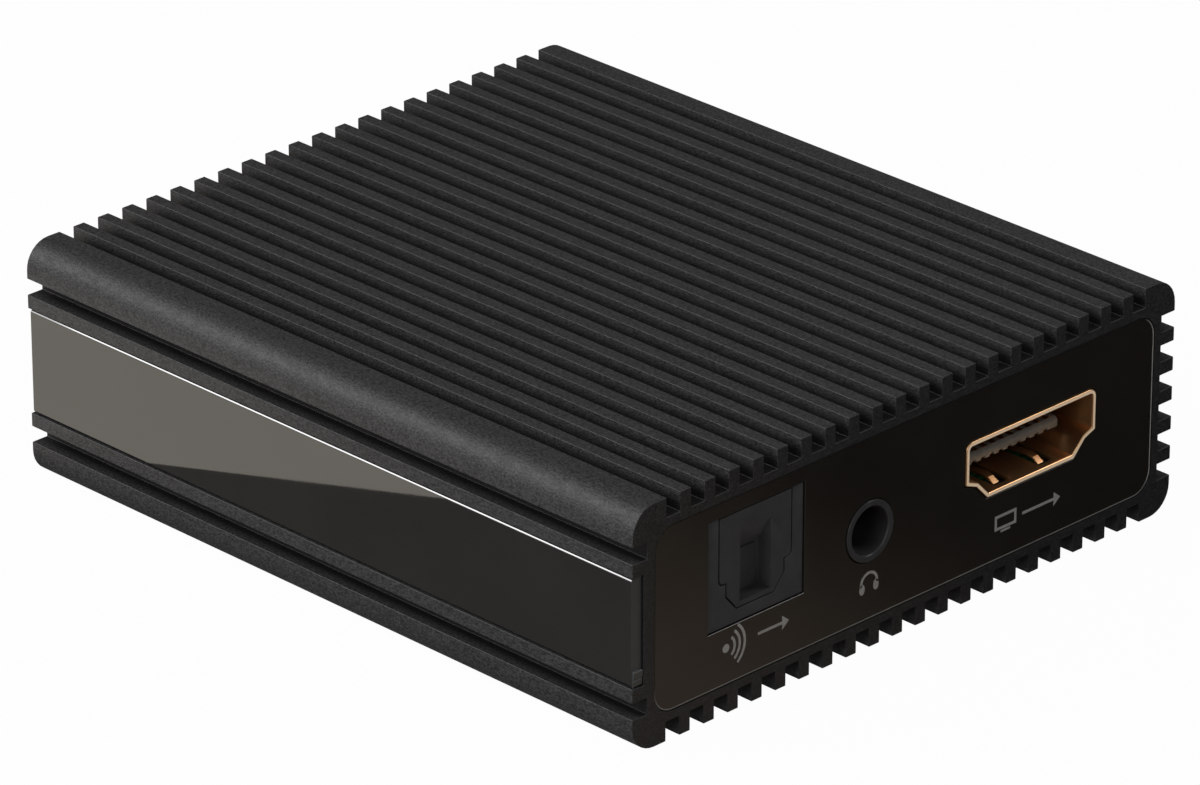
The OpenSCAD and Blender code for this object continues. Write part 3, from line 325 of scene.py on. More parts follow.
strip_low, strip_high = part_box("side_strip")
set_back_mm = 0.22
strip_end = strip_high.y / MM - set_back_mm
change_by_depth(strip_acrylic, strip_end - 0.04, strip_end - 0.01, "#24282a", 0.45)
collar_front = -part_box("headphone_socket")[0].y / MM
# Painted shade: the bore is painted nearly black from 0.04 mm to 0.16 mm inside the collar's front.
change_by_depth(satin_moulding, collar_front - 0.04, collar_front - 0.16, "#080808", 0.75)
print("strip end and collar front, mm:", round(strip_end, 2), round(collar_front, 2))

# %% [markdown]
# A circuit board is green lacquer over copper tracks. The tracks stand up a few hundredths of a millimetre
# and show paler through the lacquer, so one brick pattern drives both the colour and the relief.

# %% Circuit board
board_lacquer = finish(
    "board_lacquer", ("#123f28", "#16492f"), (0.28, 0.38), 3.0, 0.3, 0.001, ior=1.55)
board_tree = board_lacquer.node_tree
board_shader = board_tree.nodes["Principled BSDF"]
board_place = add_node(board_tree, "ShaderNodeTexCoord").outputs["Object"]
tracks = add_node(board_tree, "ShaderNodeTexBrick", {
    "Vector": board_place, "Scale": 1 / (2.4 * MM), "Mortar Size": 0.09, "Brick Width": 1.9,
    "Row Height": 0.35, "Color1": (0, 0, 0, 1), "Color2": (0, 0, 0, 1), "Mortar": (1, 1, 1, 1)})
track_tint = add_node(board_tree, "ShaderNodeMix", {
    "Factor": tracks.outputs["Fac"], 6: linear("#123f28"), 7: linear("#2b6b45")}, data_type="RGBA")
board_tree.links.new(track_tint.outputs[2], board_shader.inputs["Base Color"])
track_relief = add_node(board_tree, "ShaderNodeBump", {
    "Height": tracks.outputs["Fac"], "Distance": 0.03 * MM, "Strength": 0.6})
board_tree.links.new(track_relief.outputs["Normal"], board_shader.inputs["Normal"])
print("materials:", len(bpy.data.materials))

# %% [markdown]
# ## Rounded edges
#
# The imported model's edges are perfectly sharp, and a sharp edge shows as nothing at all. A copy of a piece
# is welded into one skin, its flat areas are joined into single faces, and a bevel then rounds every edge
# by a tenth of a millimetre or so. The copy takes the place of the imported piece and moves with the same
# body.

# %% Meshes and pieces
def welded_copy(node):
    """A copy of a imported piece's loose triangles, joined into one skin."""
    work = bmesh.new()
    work.from_mesh(nodes[node].data)
    bmesh.ops.remove_doubles(work, verts=work.verts, dist=0.001 * MM)
    return work


def plain_mesh(work, name):
    """Ends the work on a mesh and keeps the result under a name."""
    mesh = bpy.data.meshes.new(name)
    work.to_mesh(mesh)
    work.free()
    return mesh


def shade_smooth(mesh):
    """Shades all faces of a mesh as parts of smooth surfaces."""
    mesh.polygons.foreach_set("use_smooth", [True] * len(mesh.polygons))


def show(name, mesh, material):
    """Puts a mesh in the scene in one material."""
    mesh.materials.clear()
    mesh.materials.append(material)
    shown = bpy.data.objects.new(name, mesh)
    bpy.context.scene.collection.objects.link(shown)
    return shown


def add_piece(name, mesh, material, body="case"):
    """Puts a finished mesh in the scene as a piece that moves with a body."""
    piece = show(name, mesh, material)
    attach(piece, body)
    return piece


# %% Round the edges and dress a piece
sharp_turn = math.radians(35)
flat_turn = math.radians(0.5)


def round_edges(piece, edge_mm, segments=2, weighted=False):
    """Rounds every sharp edge, or every edge that has a weight, and keeps flat faces flat."""
    shade_smooth(piece.data)
    piece.data.set_sharp_from_angle(angle=sharp_turn)
    bevel = piece.modifiers.new("rounded edges", "BEVEL")
    bevel.width = edge_mm * MM
    bevel.segments = segments
    bevel.limit_method = "WEIGHT" if weighted else "ANGLE"
    bevel.angle_limit = sharp_turn
    bevel.harden_normals = True
    bevel.use_clamp_overlap = not weighted


def dress(node, material, edge_mm, body="case"):
    """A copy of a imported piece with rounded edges, in its place."""
    work = welded_copy(node)
    bmesh.ops.dissolve_limit(work, angle_limit=flat_turn, verts=work.verts, edges=work.edges)
    piece = add_piece(node + "_finished", plain_mesh(work, node + "_finished"), material, body)
    round_edges(piece, edge_mm)
    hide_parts(node)
    return piece


# %% [markdown]
# ## The finned case
#
# An extrusion is one drawing pushed through a die, and its fins are one groove repeated. Geometry Nodes say
# exactly that: a rounded bar, and grooves set out on lines at an even pitch and cut from it. The sizes are
# named inputs, so that a longer case or more fins needs no new drawing.

# %% Sizes of the case
CASE = {
    "Width": case_size.x, "Length": case_size.y, "Height": case_size.z,
    "Corner Radius": corner_radius,
    "Rib Width": 3.58 * MM, "Rib Height": 3.05 * MM,
    "Fin Width": 1.16 * MM, "Groove Depth": 1.65 * MM,
    "Side Fin Width": 1.2 * MM, "Side Groove Depth": 1.55 * MM,
    "Slot Rib": 1.2 * MM, "Slot Groove": 1.395 * MM, "Slot Depth": 1.17 * MM,
    "Wall": 0.75 * MM, "Panel Radius": 2.0 * MM, "Panel Depth": 2.1 * MM,
    "Port Radius": 1.675 * MM, "Port Bore": 0.85 * MM,
    "Rail Depth": 1.6 * MM, "Rail Height": 0.9 * MM, "Rail Foot": 7.47 * MM,
}
COUNTS = {"Fins": 20, "Side Fins": 5}
print("sizes of the case:", len(CASE), "counts:", COUNTS)


# %% The case's tree
case_tree = bpy.data.node_groups.new("finned case", "GeometryNodeTree")
for name in CASE:
    case_tree.interface.new_socket(name=name, in_out="INPUT", socket_type="NodeSocketFloat")
for name in COUNTS:
    case_tree.interface.new_socket(name=name, in_out="INPUT", socket_type="NodeSocketInt")
case_tree.interface.new_socket(name="Metal", in_out="INPUT", socket_type="NodeSocketMaterial")
case_tree.interface.new_socket(name="Geometry", in_out="OUTPUT", socket_type="NodeSocketGeometry")
size_of = add_node(case_tree, "NodeGroupInput").outputs


def sums(first, operation, second):
    """One step of arithmetic in the tree. Each side is a number or an output."""
    return add_node(case_tree, "ShaderNodeMath", {0: first, 1: second}, operation=operation).outputs[0]


def at(x, y, z):
    """A place or a size from three numbers or outputs."""
    return add_node(case_tree, "ShaderNodeCombineXYZ", {"X": x, "Y": y, "Z": z}).outputs[0]


def laid_along_y(geometry, place):
    """Turns an upright bar so that it lies along Y, and puts it in its place."""
    return add_node(case_tree, "GeometryNodeTransform", {
        "Geometry": geometry, "Translation": place, "Rotation": (math.pi / 2, 0, 0)}).outputs[0]


def rounded_bar(width, height, length, radius, steps, middle_z, middle_y=0.0):
    """A bar along Y whose section is a rectangle with round corners."""
    drawn = add_node(case_tree, "GeometryNodeCurvePrimitiveQuadrilateral", {"Width": width, "Height": height})
    rounded = add_node(case_tree, "GeometryNodeFilletCurve", {
        "Curve": drawn.outputs[0], "Radius": radius, "Count": steps}, mode="POLY")
    face = add_node(case_tree, "GeometryNodeFillCurve", {"Curve": rounded.outputs[0]}, mode="NGONS")
    pushed = add_node(case_tree, "GeometryNodeExtrudeMesh", {
        "Mesh": face.outputs[0], "Offset": (0, 0, 1), "Offset Scale": length, "Individual": False})
    back = add_node(case_tree, "GeometryNodeFlipFaces", {"Mesh": face.outputs[0]})
    whole = add_node(case_tree, "GeometryNodeJoinGeometry")
    case_tree.links.new(pushed.outputs[0], whole.inputs[0])
    case_tree.links.new(back.outputs[0], whole.inputs[0])
    closed = add_node(case_tree, "GeometryNodeMergeByDistance", {
        "Geometry": whole.outputs[0], "Distance": 0.0001 * MM})
    end = sums(sums(length, "DIVIDE", 2.0), "ADD", middle_y)
    return laid_along_y(closed.outputs[0], at(0.0, end, middle_z))


def row_of_boxes(count, size, start, step):
    """Equal boxes on a line of points."""
    line = add_node(case_tree, "GeometryNodeMeshLine", {
        "Count": count, "Start Location": start, "Offset": step})
    box = add_node(case_tree, "GeometryNodeMeshCube", {"Size": size})
    put = add_node(case_tree, "GeometryNodeInstanceOnPoints", {
        "Points": line.outputs[0], "Instance": box.outputs[0]})
    return add_node(case_tree, "GeometryNodeRealizeInstances", {"Geometry": put.outputs[0]}).outputs[0]


def cut_from(body, cutters):
    """Takes the cutters from a body."""
    cutting = add_node(
        case_tree, "GeometryNodeMeshBoolean", {"Mesh 1": body}, operation="DIFFERENCE", solver="MANIFOLD")
    for cutter in cutters:
        case_tree.links.new(cutter, cutting.inputs["Mesh 2"])
    return cutting.outputs["Mesh"]


# %% [markdown]
# The grooves' width isn't typed in. It is what is left of the span between the corner ribs when the fins
# have taken theirs, shared among one more groove than there are fins. Every cutter stands out of the
# surface by one millimetre, because a cut that ends exactly on a surface leaves it undecided.

# %% Grooves, slot and inside
past = 1.0 * MM
middle_z = sums(size_of["Height"], "DIVIDE", 2.0)
run = sums(size_of["Length"], "ADD", 2 * past)

span = sums(size_of["Width"], "SUBTRACT", sums(size_of["Rib Width"], "MULTIPLY", 2.0))
groove_count = sums(size_of["Fins"], "ADD", 1.0)
fins_taken = sums(size_of["Fins"], "MULTIPLY", size_of["Fin Width"])
groove = sums(sums(span, "SUBTRACT", fins_taken), "DIVIDE", groove_count)
pitch = sums(groove, "ADD", size_of["Fin Width"])
first_x = sums(sums(groove, "DIVIDE", 2.0), "SUBTRACT", sums(span, "DIVIDE", 2.0))
cut_height = sums(size_of["Groove Depth"], "ADD", past)
low_cut_z = sums(sums(cut_height, "DIVIDE", 2.0), "SUBTRACT", past)
high_cut_z = sums(size_of["Height"], "SUBTRACT", low_cut_z)
groove_rows = [
    row_of_boxes(groove_count, at(groove, run, cut_height), at(first_x, 0.0, z), at(pitch, 0.0, 0.0))
    for z in (low_cut_z, high_cut_z)
]

side_span = sums(size_of["Height"], "SUBTRACT", sums(size_of["Rib Height"], "MULTIPLY", 2.0))
side_count = sums(size_of["Side Fins"], "ADD", 1.0)
side_taken = sums(size_of["Side Fins"], "MULTIPLY", size_of["Side Fin Width"])
side_groove = sums(sums(side_span, "SUBTRACT", side_taken), "DIVIDE", side_count)
side_pitch = sums(side_groove, "ADD", size_of["Side Fin Width"])
side_cut = sums(size_of["Side Groove Depth"], "ADD", past)
side_inset = sums(sums(side_cut, "DIVIDE", 2.0), "SUBTRACT", past)
side_x = sums(sums(size_of["Width"], "DIVIDE", 2.0), "SUBTRACT", side_inset)
first_z = sums(size_of["Rib Height"], "ADD", sums(side_groove, "DIVIDE", 2.0))
side_row = row_of_boxes(
    side_count, at(side_cut, run, side_groove), at(side_x, 0.0, first_z), at(0.0, 0.0, side_pitch))

slot_edges = sums(sums(size_of["Slot Groove"], "ADD", size_of["Slot Rib"]), "MULTIPLY", 2.0)
slot_height = sums(side_span, "SUBTRACT", slot_edges)
slot_cut = sums(size_of["Slot Depth"], "ADD", past)
slot_inset = sums(sums(slot_cut, "DIVIDE", 2.0), "SUBTRACT", past)
slot_x = sums(slot_inset, "SUBTRACT", sums(size_of["Width"], "DIVIDE", 2.0))
slot_box = row_of_boxes(1, at(slot_cut, run, slot_height), at(slot_x, 0.0, middle_z), (0, 0, 1))
slot_groove_z = sums(size_of["Rib Height"], "ADD", sums(size_of["Slot Groove"], "DIVIDE", 2.0))
slot_groove_step = sums(side_span, "SUBTRACT", size_of["Slot Groove"])
slot_grooves = row_of_boxes(
    2, at(side_cut, run, size_of["Slot Groove"]), at(sums(side_x, "MULTIPLY", -1.0), 0.0, slot_groove_z),
    at(0.0, 0.0, slot_groove_step))

# %% [markdown]
# The ports for the screws and the rails for the board are part of the extrusion, so the inside is cut with
# a bar from which they have been taken first. They reach a little into the wall, and past the ends of that
# bar. The ends of the case are then milled out for the panels.

# %% Inside, ports and rails
inner_steps = 5
port_lap = 0.05 * MM
core_run = sums(run, "MULTIPLY", 1.1)
side_wall = sums(size_of["Side Groove Depth"], "ADD", size_of["Wall"])
inside_half = sums(sums(size_of["Width"], "DIVIDE", 2.0), "SUBTRACT", side_wall)
inside_width = sums(inside_half, "MULTIPLY", 2.0)
inside_foot = sums(size_of["Groove Depth"], "ADD", size_of["Wall"])
inside_height = sums(size_of["Height"], "SUBTRACT", sums(inside_foot, "MULTIPLY", 2.0))
inside = rounded_bar(inside_width, inside_height, run, size_of["Panel Radius"], inner_steps, middle_z)

port_x = sums(inside_half, "SUBTRACT", size_of["Port Radius"])
port_rise = sums(sums(inside_height, "DIVIDE", 2.0), "SUBTRACT", size_of["Port Radius"])
port_outer = sums(size_of["Port Radius"], "ADD", port_lap)
ports = []
bores = []
for side in (-1.0, 1.0):
    for level in (-1.0, 1.0):
        port_z = sums(sums(port_rise, "MULTIPLY", level), "ADD", middle_z)
        port_place = at(sums(port_x, "MULTIPLY", side), 0.0, port_z)
        for radius, length, target in ((port_outer, core_run, ports), (size_of["Port Bore"], run, bores)):
            rod = add_node(case_tree, "GeometryNodeMeshCylinder", {
                "Vertices": 32, "Radius": radius, "Depth": length})
            target.append(laid_along_y(rod.outputs["Mesh"], port_place))
rail_x = sums(sums(inside_half, "ADD", port_lap), "SUBTRACT", sums(size_of["Rail Depth"], "DIVIDE", 2.0))
rail_z = sums(size_of["Rail Foot"], "ADD", sums(size_of["Rail Height"], "DIVIDE", 2.0))
rails = row_of_boxes(
    2, at(sums(size_of["Rail Depth"], "ADD", port_lap), core_run, size_of["Rail Height"]),
    at(sums(rail_x, "MULTIPLY", -1.0), 0.0, rail_z), at(sums(rail_x, "MULTIPLY", 2.0), 0.0, 0.0))

outer_steps = 8
outside = rounded_bar(
    size_of["Width"], size_of["Height"], size_of["Length"], size_of["Corner Radius"], outer_steps, middle_z)
ribbed = cut_from(outside, groove_rows + [side_row, slot_box, slot_grooves])
hollowed = cut_from(ribbed, [cut_from(inside, ports + [rails])])
bored = cut_from(hollowed, bores)
half_depth = sums(size_of["Panel Depth"], "DIVIDE", 2.0)
mill_y = sums(sums(size_of["Length"], "DIVIDE", 2.0), "SUBTRACT", half_depth)
mill_length = sums(size_of["Panel Depth"], "ADD", past)
mill_shift = sums(mill_y, "ADD", past / 2)
mills = [
    rounded_bar(inside_width, inside_height, mill_length, size_of["Panel Radius"], inner_steps, middle_z,
                sums(mill_shift, "MULTIPLY", end))
    for end in (-1.0, 1.0)
]
milled = cut_from(bored, mills)
realized = add_node(case_tree, "GeometryNodeRealizeInstances", {"Geometry": milled})
painted = add_node(case_tree, "GeometryNodeSetMaterial", {
    "Geometry": realized.outputs[0], "Material": size_of["Metal"]})
add_node(case_tree, "NodeGroupOutput", {"Geometry": painted.outputs[0]})
print("nodes in the case's tree:", len(case_tree.nodes))

# %% [markdown]
# The tree runs as a modifier on an empty mesh. Its inputs are set by each socket's identifier before the
# object is first evaluated, and the result becomes a plain mesh, so that nothing of the tree is left on the
# piece.

# %% Make the case
def made_by(tree, values, name):
    """Runs a geometry tree once and returns its result as a plain mesh."""
    seed = bpy.data.objects.new(name + "_seed", bpy.data.meshes.new(name + "_seed"))
    bpy.context.scene.collection.objects.link(seed)
    modifier = seed.modifiers.new("tree", "NODES")
    modifier.node_group = tree
    for item in tree.interface.items_tree:
        if item.in_out == "INPUT" and item.name in values:
            modifier[item.identifier] = values[item.name]
    bpy.context.view_layer.update()
    evaluated = seed.evaluated_get(bpy.context.evaluated_depsgraph_get())
    mesh = bpy.data.meshes.new_from_object(evaluated)
    mesh.name = name
    bpy.data.objects.remove(seed)
    return mesh


def weigh_edges(mesh, half_length, half_inside, foot, head):
    """Marks the outer edges for rounding: the drawn ones in full, those left by the saw by about a third."""
    work = bmesh.new()
    work.from_mesh(mesh)
    weight = work.edges.layers.float.new("bevel_weight_edge")
    near = 0.02 * MM
    least_turn = math.radians(30)
    sawn_weight = 0.36
    for edge in work.edges:
        if len(edge.link_faces) != 2 or edge.calc_face_angle(0) < least_turn:
            continue
        middle = (edge.verts[0].co + edge.verts[1].co) / 2
        if abs(middle.x) < half_inside + near and foot - near < middle.z < head + near:
            continue
        sawn = all(abs(vert.co.y) > half_length - near for vert in edge.verts)
        edge[weight] = sawn_weight if sawn else 1.0
    work.to_mesh(mesh)
    work.free()


case_mesh = made_by(case_tree, CASE | COUNTS | {"Metal": anodised_aluminium}, "finned_case_finished")
case_foot = CASE["Groove Depth"] + CASE["Wall"]
weigh_edges(case_mesh, CASE["Length"] / 2, CASE["Width"] / 2 - CASE["Side Groove Depth"] - CASE["Wall"],
            case_foot, CASE["Height"] - case_foot)
finned_case = add_piece("finned_case_finished", case_mesh, anodised_aluminium)
round_edges(finned_case, 0.2, 3, weighted=True)
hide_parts("finned_case")
print("case faces:", len(case_mesh.polygons), "box:", [round(v / MM, 2) for v in finned_case.dimensions])

# %% [markdown]
# ## The other pieces that show
#
# Moulded and bent pieces have larger roundings than cut acrylic, so each gets its own edge radius. The
# strip is sawn a little short of its slot, so its two ends are set back. The bends of the video shells keep
# their full rounding, which a clamp would make smaller.

# %% Panels, sockets and switch
side_strip = dress("side_strip", strip_acrylic, 0.035)
for vert in side_strip.data.vertices:
    vert.co.y -= math.copysign(set_back_mm * MM, vert.co.y)
for end in ("output", "input"):
    dress(end + "_face", polished_acrylic, 0.05)
    shell = dress("video_" + end + "_shell", gold_flash, 0.1)
    shell.modifiers["rounded edges"].use_clamp_overlap = False
    dress("video_" + end + "_tongue", moulded_nylon, 0.04)
dress("optical_housing", moulded_black, 0.08)
dress("optical_shutter", moulded_black, 0.08, body="shutter")
dress("headphone_socket", satin_moulding, 0.06)
dress("power_socket", satin_moulding, 0.06)
dress("mode_switch_cover", nickel_sheet, 0.06)
dress("mode_switch_slider", moulded_black, 0.1, body="mode_slider")

# %% [markdown]
# The floor of the hollow in the shutter carries a thin raised oblong, where the moulder's pin pushed the
# part out of its tool. It moves with the shutter.

# %% The raised oblong in the shutter's hollow
shutter_low, shutter_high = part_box("optical_shutter")
housing_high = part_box("optical_housing")[1]
middle_x = (shutter_low.x + shutter_high.x) / 2
oblong_half = 1.15 * MM
hollow_floor = shutter_low.y + 1.3 * MM
proud = 0.12 * MM
sunk = 0.05 * MM
oblong_low = Vector((middle_x - oblong_half, hollow_floor - proud, shutter_low.z + 0.55 * MM))
oblong_high = Vector((middle_x + oblong_half, hollow_floor + sunk, housing_high.z - 4.1 * MM))
oblong_work = bmesh.new()
bmesh.ops.create_cube(oblong_work, size=1.0)
for vert in oblong_work.verts:
    share = vert.co + Vector((0.5, 0.5, 0.5))
    vert.co = oblong_low + share * (oblong_high - oblong_low)
oblong_mesh = plain_mesh(oblong_work, "shutter_oblong")
round_edges(add_piece("shutter_oblong", oblong_mesh, moulded_black, body="shutter"), 0.04)
print("oblong, mm:", [round(v / MM, 2) for v in oblong_high - oblong_low])

# %% [markdown]
# Near the foot of the strip's front end a small stop keeps it from sliding out. Its two ledges face upwards
# and catch the light. Its side view is drawn in millimetres, as depth behind its front and height above its
# foot, and pushed along X. The same two steps, a slab between two outlines and walls between two rings,
# make the panels' edges and the printed signs further down.

# %% Slabs and walls
def add_walls(work, first, second):
    """Joins two rings of vertices with a face for each step round them."""
    for i in range(len(first)):
        j = (i + 1) % len(first)
        work.faces.new((first[j], first[i], second[i], second[j]))


def add_slab(work, first, second):
    """A closed slab between two equal outlines, which are lists of places."""
    rings = [[work.verts.new(place) for place in outline] for outline in (first, second)]
    work.faces.new(rings[0])
    work.faces.new(rings[1][::-1])
    add_walls(work, rings[0], rings[1])


def outward_mesh(work, name):
    """Turns all faces outwards and keeps the result under a name."""
    bmesh.ops.recalc_face_normals(work, faces=work.faces)
    return plain_mesh(work, name)


# %% The stop at the strip's front end
stop_front = -CASE["Length"] / 2 + 0.02 * MM
stop_foot = strip_low.z + 0.04 * MM
stop_inset = 0.06 * MM
stop_depth_mm = set_back_mm + 0.03
stop_side_mm = [(stop_depth_mm, 0), (0.1, 0), (0.04, 0.5), (0.1, 0.6), (0, 0.72), (0, 1.25),
                (stop_depth_mm, 1.36)]
stop_work = bmesh.new()
add_slab(stop_work, *[
    [(x, stop_front + depth * MM, stop_foot + height * MM) for depth, height in stop_side_mm]
    for x in (strip_low.x + stop_inset, strip_high.x - stop_inset)])
stop_mesh = outward_mesh(stop_work, "strip_stop")
round_edges(add_piece("strip_stop", stop_mesh, strip_acrylic), 0.04)
print("faces of the stop:", len(stop_mesh.polygons))

# %% [markdown]
# The panels are sawn from sheet, and a sawn edge is frosted. Seen from above and from the left, it shows as
# a thin pale line at the bottom and at the right, and as a dark line at the top and at the left. It is drawn
# as a flat ring as wide as a hair on each panel's face: pale at the foot and on the right, a painted
# highlight of the edge catching the light, and painted dark at the top and on the left, as painted shade
# under the lip of the case.

# %% Sawn edges of the panels
def corner_rounds(half_width, low, high, radius, steps=6):
    """Points round a rectangle with round corners."""
    corners = [(half_width - radius, high - radius, 0), (radius - half_width, high - radius, 90),
               (radius - half_width, low + radius, 180), (half_width - radius, low + radius, 270)]
    return [(x + radius * math.cos(math.radians(start + 90 * i / steps)),
             z + radius * math.sin(math.radians(start + 90 * i / steps)))
            for x, z, start in corners for i in range(steps + 1)]


def sawn_edge(panel, outward):
    """The ring round a panel, raised from it by a hundredth of a millimetre."""
    low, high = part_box(panel)
    front = (low.y if outward < 0 else high.y) + outward * 0.01 * MM
    back = front - outward * 0.05 * MM
    line = 0.1 * MM
    radius = 1.92 * MM
    outer = corner_rounds(high.x, low.z, high.z, radius)
    inner = corner_rounds(high.x - line, low.z + line, high.z - line, radius - line)
    work = bmesh.new()
    rings = [[work.verts.new((x, y, z)) for x, z in outline] for outline, y in (
        (outer, back), (outer, front), (inner, front), (inner, back))]
    for ring, after in zip(rings, rings[1:] + rings[:1]):
        add_walls(work, after, ring)
    add_piece(panel + "_sawn_edge", outward_mesh(work, panel + "_sawn_edge"), frosted_edge_painted_light)


sawn_edge("output_face", -1)
sawn_edge("input_face", 1)

# %% Painted shade on two sides of the sawn edges
edge_tree = frosted_edge_painted_light.node_tree
edge_axes = axes_of(frosted_edge_painted_light)
above_foot = add_node(edge_tree, "ShaderNodeMapRange", {
    "Value": edge_axes["Z"], "From Min": 3.2 * MM, "From Max": 5.0 * MM, "To Min": 0.5}).outputs["Result"]
left_of_side = add_node(edge_tree, "ShaderNodeMapRange", {
    "Value": edge_axes["X"], "From Min": 28.0 * MM, "From Max": 27.0 * MM}).outputs["Result"]
lip_painted_shade = add_node(edge_tree, "ShaderNodeMath", {0: above_foot, 1: left_of_side}, operation="MINIMUM")
# Painted shade: the top and left sides of each ring are painted nearly black.
tint_by(frosted_edge_painted_light, lip_painted_shade.outputs[0], "#050505")

# %% [markdown]
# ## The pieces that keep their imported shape
#
# What sits behind the panels is right as it is, and gets the material of the real part.

# %% Materials for the hidden pieces
kept = {
    anodised_sheet: ["output_plate", "input_plate"],
    zinc_plated_steel: ["output_plate_screws", "input_plate_screws"],
    board_lacquer: ["circuit_board"],
    silicone_pad: ["thermal_pad"],
    contact_plating: ["video_output_contacts", "video_input_contacts"],
    drawn_steel_wire: ["shutter_pin"],
    moulded_epoxy: ["optical_emitter", "video_chip", "audio_chip", "power_inductor", "voltage_regulator"],
    tinned_bronze: ["optical_emitter_leads", "headphone_contacts", "power_pin", "power_contact",
                    "mode_switch_terminals", "video_chip_leads", "audio_chip_leads"],
    moulded_black: ["mode_switch_base", "status_light_holder"],
    clear_epoxy: ["status_light"],
    drawn_aluminium_can: ["clock_crystal", "electrolytic_capacitors"],
    fired_ceramic: ["ceramic_capacitors"],
}
for material, names in kept.items():
    for name in names:
        for slot in nodes[name].material_slots:
            slot.material = material
print("pieces kept as packed:", sum(len(names) for names in kept.values()))

# %% [markdown]
# The shutter's spring is wound round the hinge pin. One leg stays against the housing and the other moves
# with the flap, so the turns between them wind up as it opens. Here it is the imported spring, welded into
# one skin and shaded smooth, which stays where it is.

# %% The shutter's spring
spring_mesh = plain_mesh(welded_copy("shutter_spring"), "shutter_spring_wound")
shade_smooth(spring_mesh)
spring = show("shutter_spring_wound", spring_mesh, drawn_steel_wire)
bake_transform(spring)
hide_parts("shutter_spring")

# %% [markdown]
# ## The printed signs
#
# Small grey signs under the sockets say what each one is for. They are plain pictures: rings of light for
# the optical socket, a headphone, and a screen with an arrow out of it for the video output. Each is a thin
# film of lacquer on the panel, drawn as outlines in millimetres from the sign's own middle.

# %% Draw a sign
def arc(middle, radius, start, end, steps=14):
    """Points on an arc, in degrees."""
    turns = [math.radians(start + (end - start) * i / steps) for i in range(steps + 1)]
    return [(middle[0] + radius * math.cos(t), middle[1] + radius * math.sin(t)) for t in turns]


def band(middle, radius, width, start, end):
    """A line of even width along an arc."""
    outer = arc(middle, radius + width / 2, start, end)
    inner = arc(middle, radius - width / 2, end, start)
    return outer + inner


def bar(x0, z0, x1, z1):
    """A filled rectangle from two of its corners."""
    return [(x0, z0), (x1, z0), (x1, z1), (x0, z1)]


def rectangle(x0, z0, x1, z1, line):
    """Four bars round a rectangle."""
    return [bar(x0, z0, x1, z0 + line), bar(x0, z1 - line, x1, z1),
            bar(x0, z0 + line, x0 + line, z1 - line), bar(x1 - line, z0 + line, x1, z1 - line)]


def arrow(x0, x1, line, head):
    """An arrow to the right."""
    half = head * 0.8
    return [bar(x0, -line / 2, x1 - head, line / 2), [(x1 - head, -half), (x1, 0), (x1 - head, half)]]


def print_sign(name, outlines, node):
    """Prints the outlines under a socket, as a film of lacquer two hundredths of a millimetre thick."""
    low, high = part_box(node)
    middle = (low.x + high.x) / 2
    panel_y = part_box("output_face")[0].y
    film_y = panel_y - 0.02 * MM
    work = bmesh.new()
    for outline in outlines:
        add_slab(work, *[
            [(middle + x * MM, y, (sign_height + z) * MM) for x, z in outline] for y in (film_y, panel_y)])
    add_piece(name, outward_mesh(work, name), screen_print)
    print(name, "outlines:", len(outlines))


# %% Signs under the sockets
sign_height = 5.55
line_width = 0.24

light_sign = [arc((-3.3, 0), 0.36, 0, 348, 28)]
light_sign += [band((-3.3, 0), radius, line_width, -52, 52) for radius in (0.95, 1.5, 2.05)]
light_sign += arrow(0.2, 3.6, line_width, 0.75)
print_sign("light_sign", light_sign, "optical_housing")

headphone_sign = [band((0, 0.02), 0.9, line_width, -8, 188)]
for side in (-1, 1):
    headphone_sign.append([
        (side * 0.78 + 0.30 * x, -0.34 + 0.46 * z) for x, z in arc((0, 0), 1, 0, 345, 23)])
print_sign("headphone_sign", headphone_sign, "headphone_socket")

video_sign = rectangle(-4.0, -0.55, -1.5, 0.75, line_width)
video_sign.append(bar(-3.3, -0.82, -2.2, -0.64))
video_sign += arrow(-0.8, 3.6, line_width, 0.75)
print_sign("video_sign", video_sign, "video_output_shell")

# %% [markdown]
# ## The set
#
# The box stands on a white table in white surroundings. A surface lit by the lamps and the surround shows
# its colour about as it is written above. The camera sees plain white behind the box, with a trace of its
# shadow.

# %% Table and surround
def white_share(tree, most):
    """The share of plain white that a ray gets: most of it for the camera, mirrors and clear things."""
    path = add_node(tree, "ShaderNodeLightPath")
    mirrors = add_node(tree, "ShaderNodeMath", {
        0: path.outputs["Is Glossy Ray"], 1: path.outputs["Is Transmission Ray"]}, operation="MAXIMUM")
    seen = add_node(tree, "ShaderNodeMath", {
        0: path.outputs["Is Camera Ray"], 1: mirrors.outputs[0]}, operation="MAXIMUM")
    return add_node(tree, "ShaderNodeMath", {0: seen.outputs[0], 1: most}, operation="MULTIPLY").outputs[0]


def new_tree(holder):
    """Gives a material or a world an empty node tree."""
    holder.use_nodes = True
    holder.node_tree.nodes.clear()
    return holder.node_tree


def add_sheets(name, faces, material):
    """Flat sheets of four corners each, in millimetres, which are part of the set."""
    corners = [Vector(corner) * MM for face in faces for corner in face]
    mesh = bpy.data.meshes.new(name)
    mesh.from_pydata(corners, [], [tuple(range(i, i + 4)) for i in range(0, len(corners), 4)])
    sheets = show(name, mesh, material)
    return sheets


def flat(x0, x1, y0, y1, z):
    """The four corners of a level sheet."""
    return [(x0, y0, z), (x1, y0, z), (x1, y1, z), (x0, y1, z)]
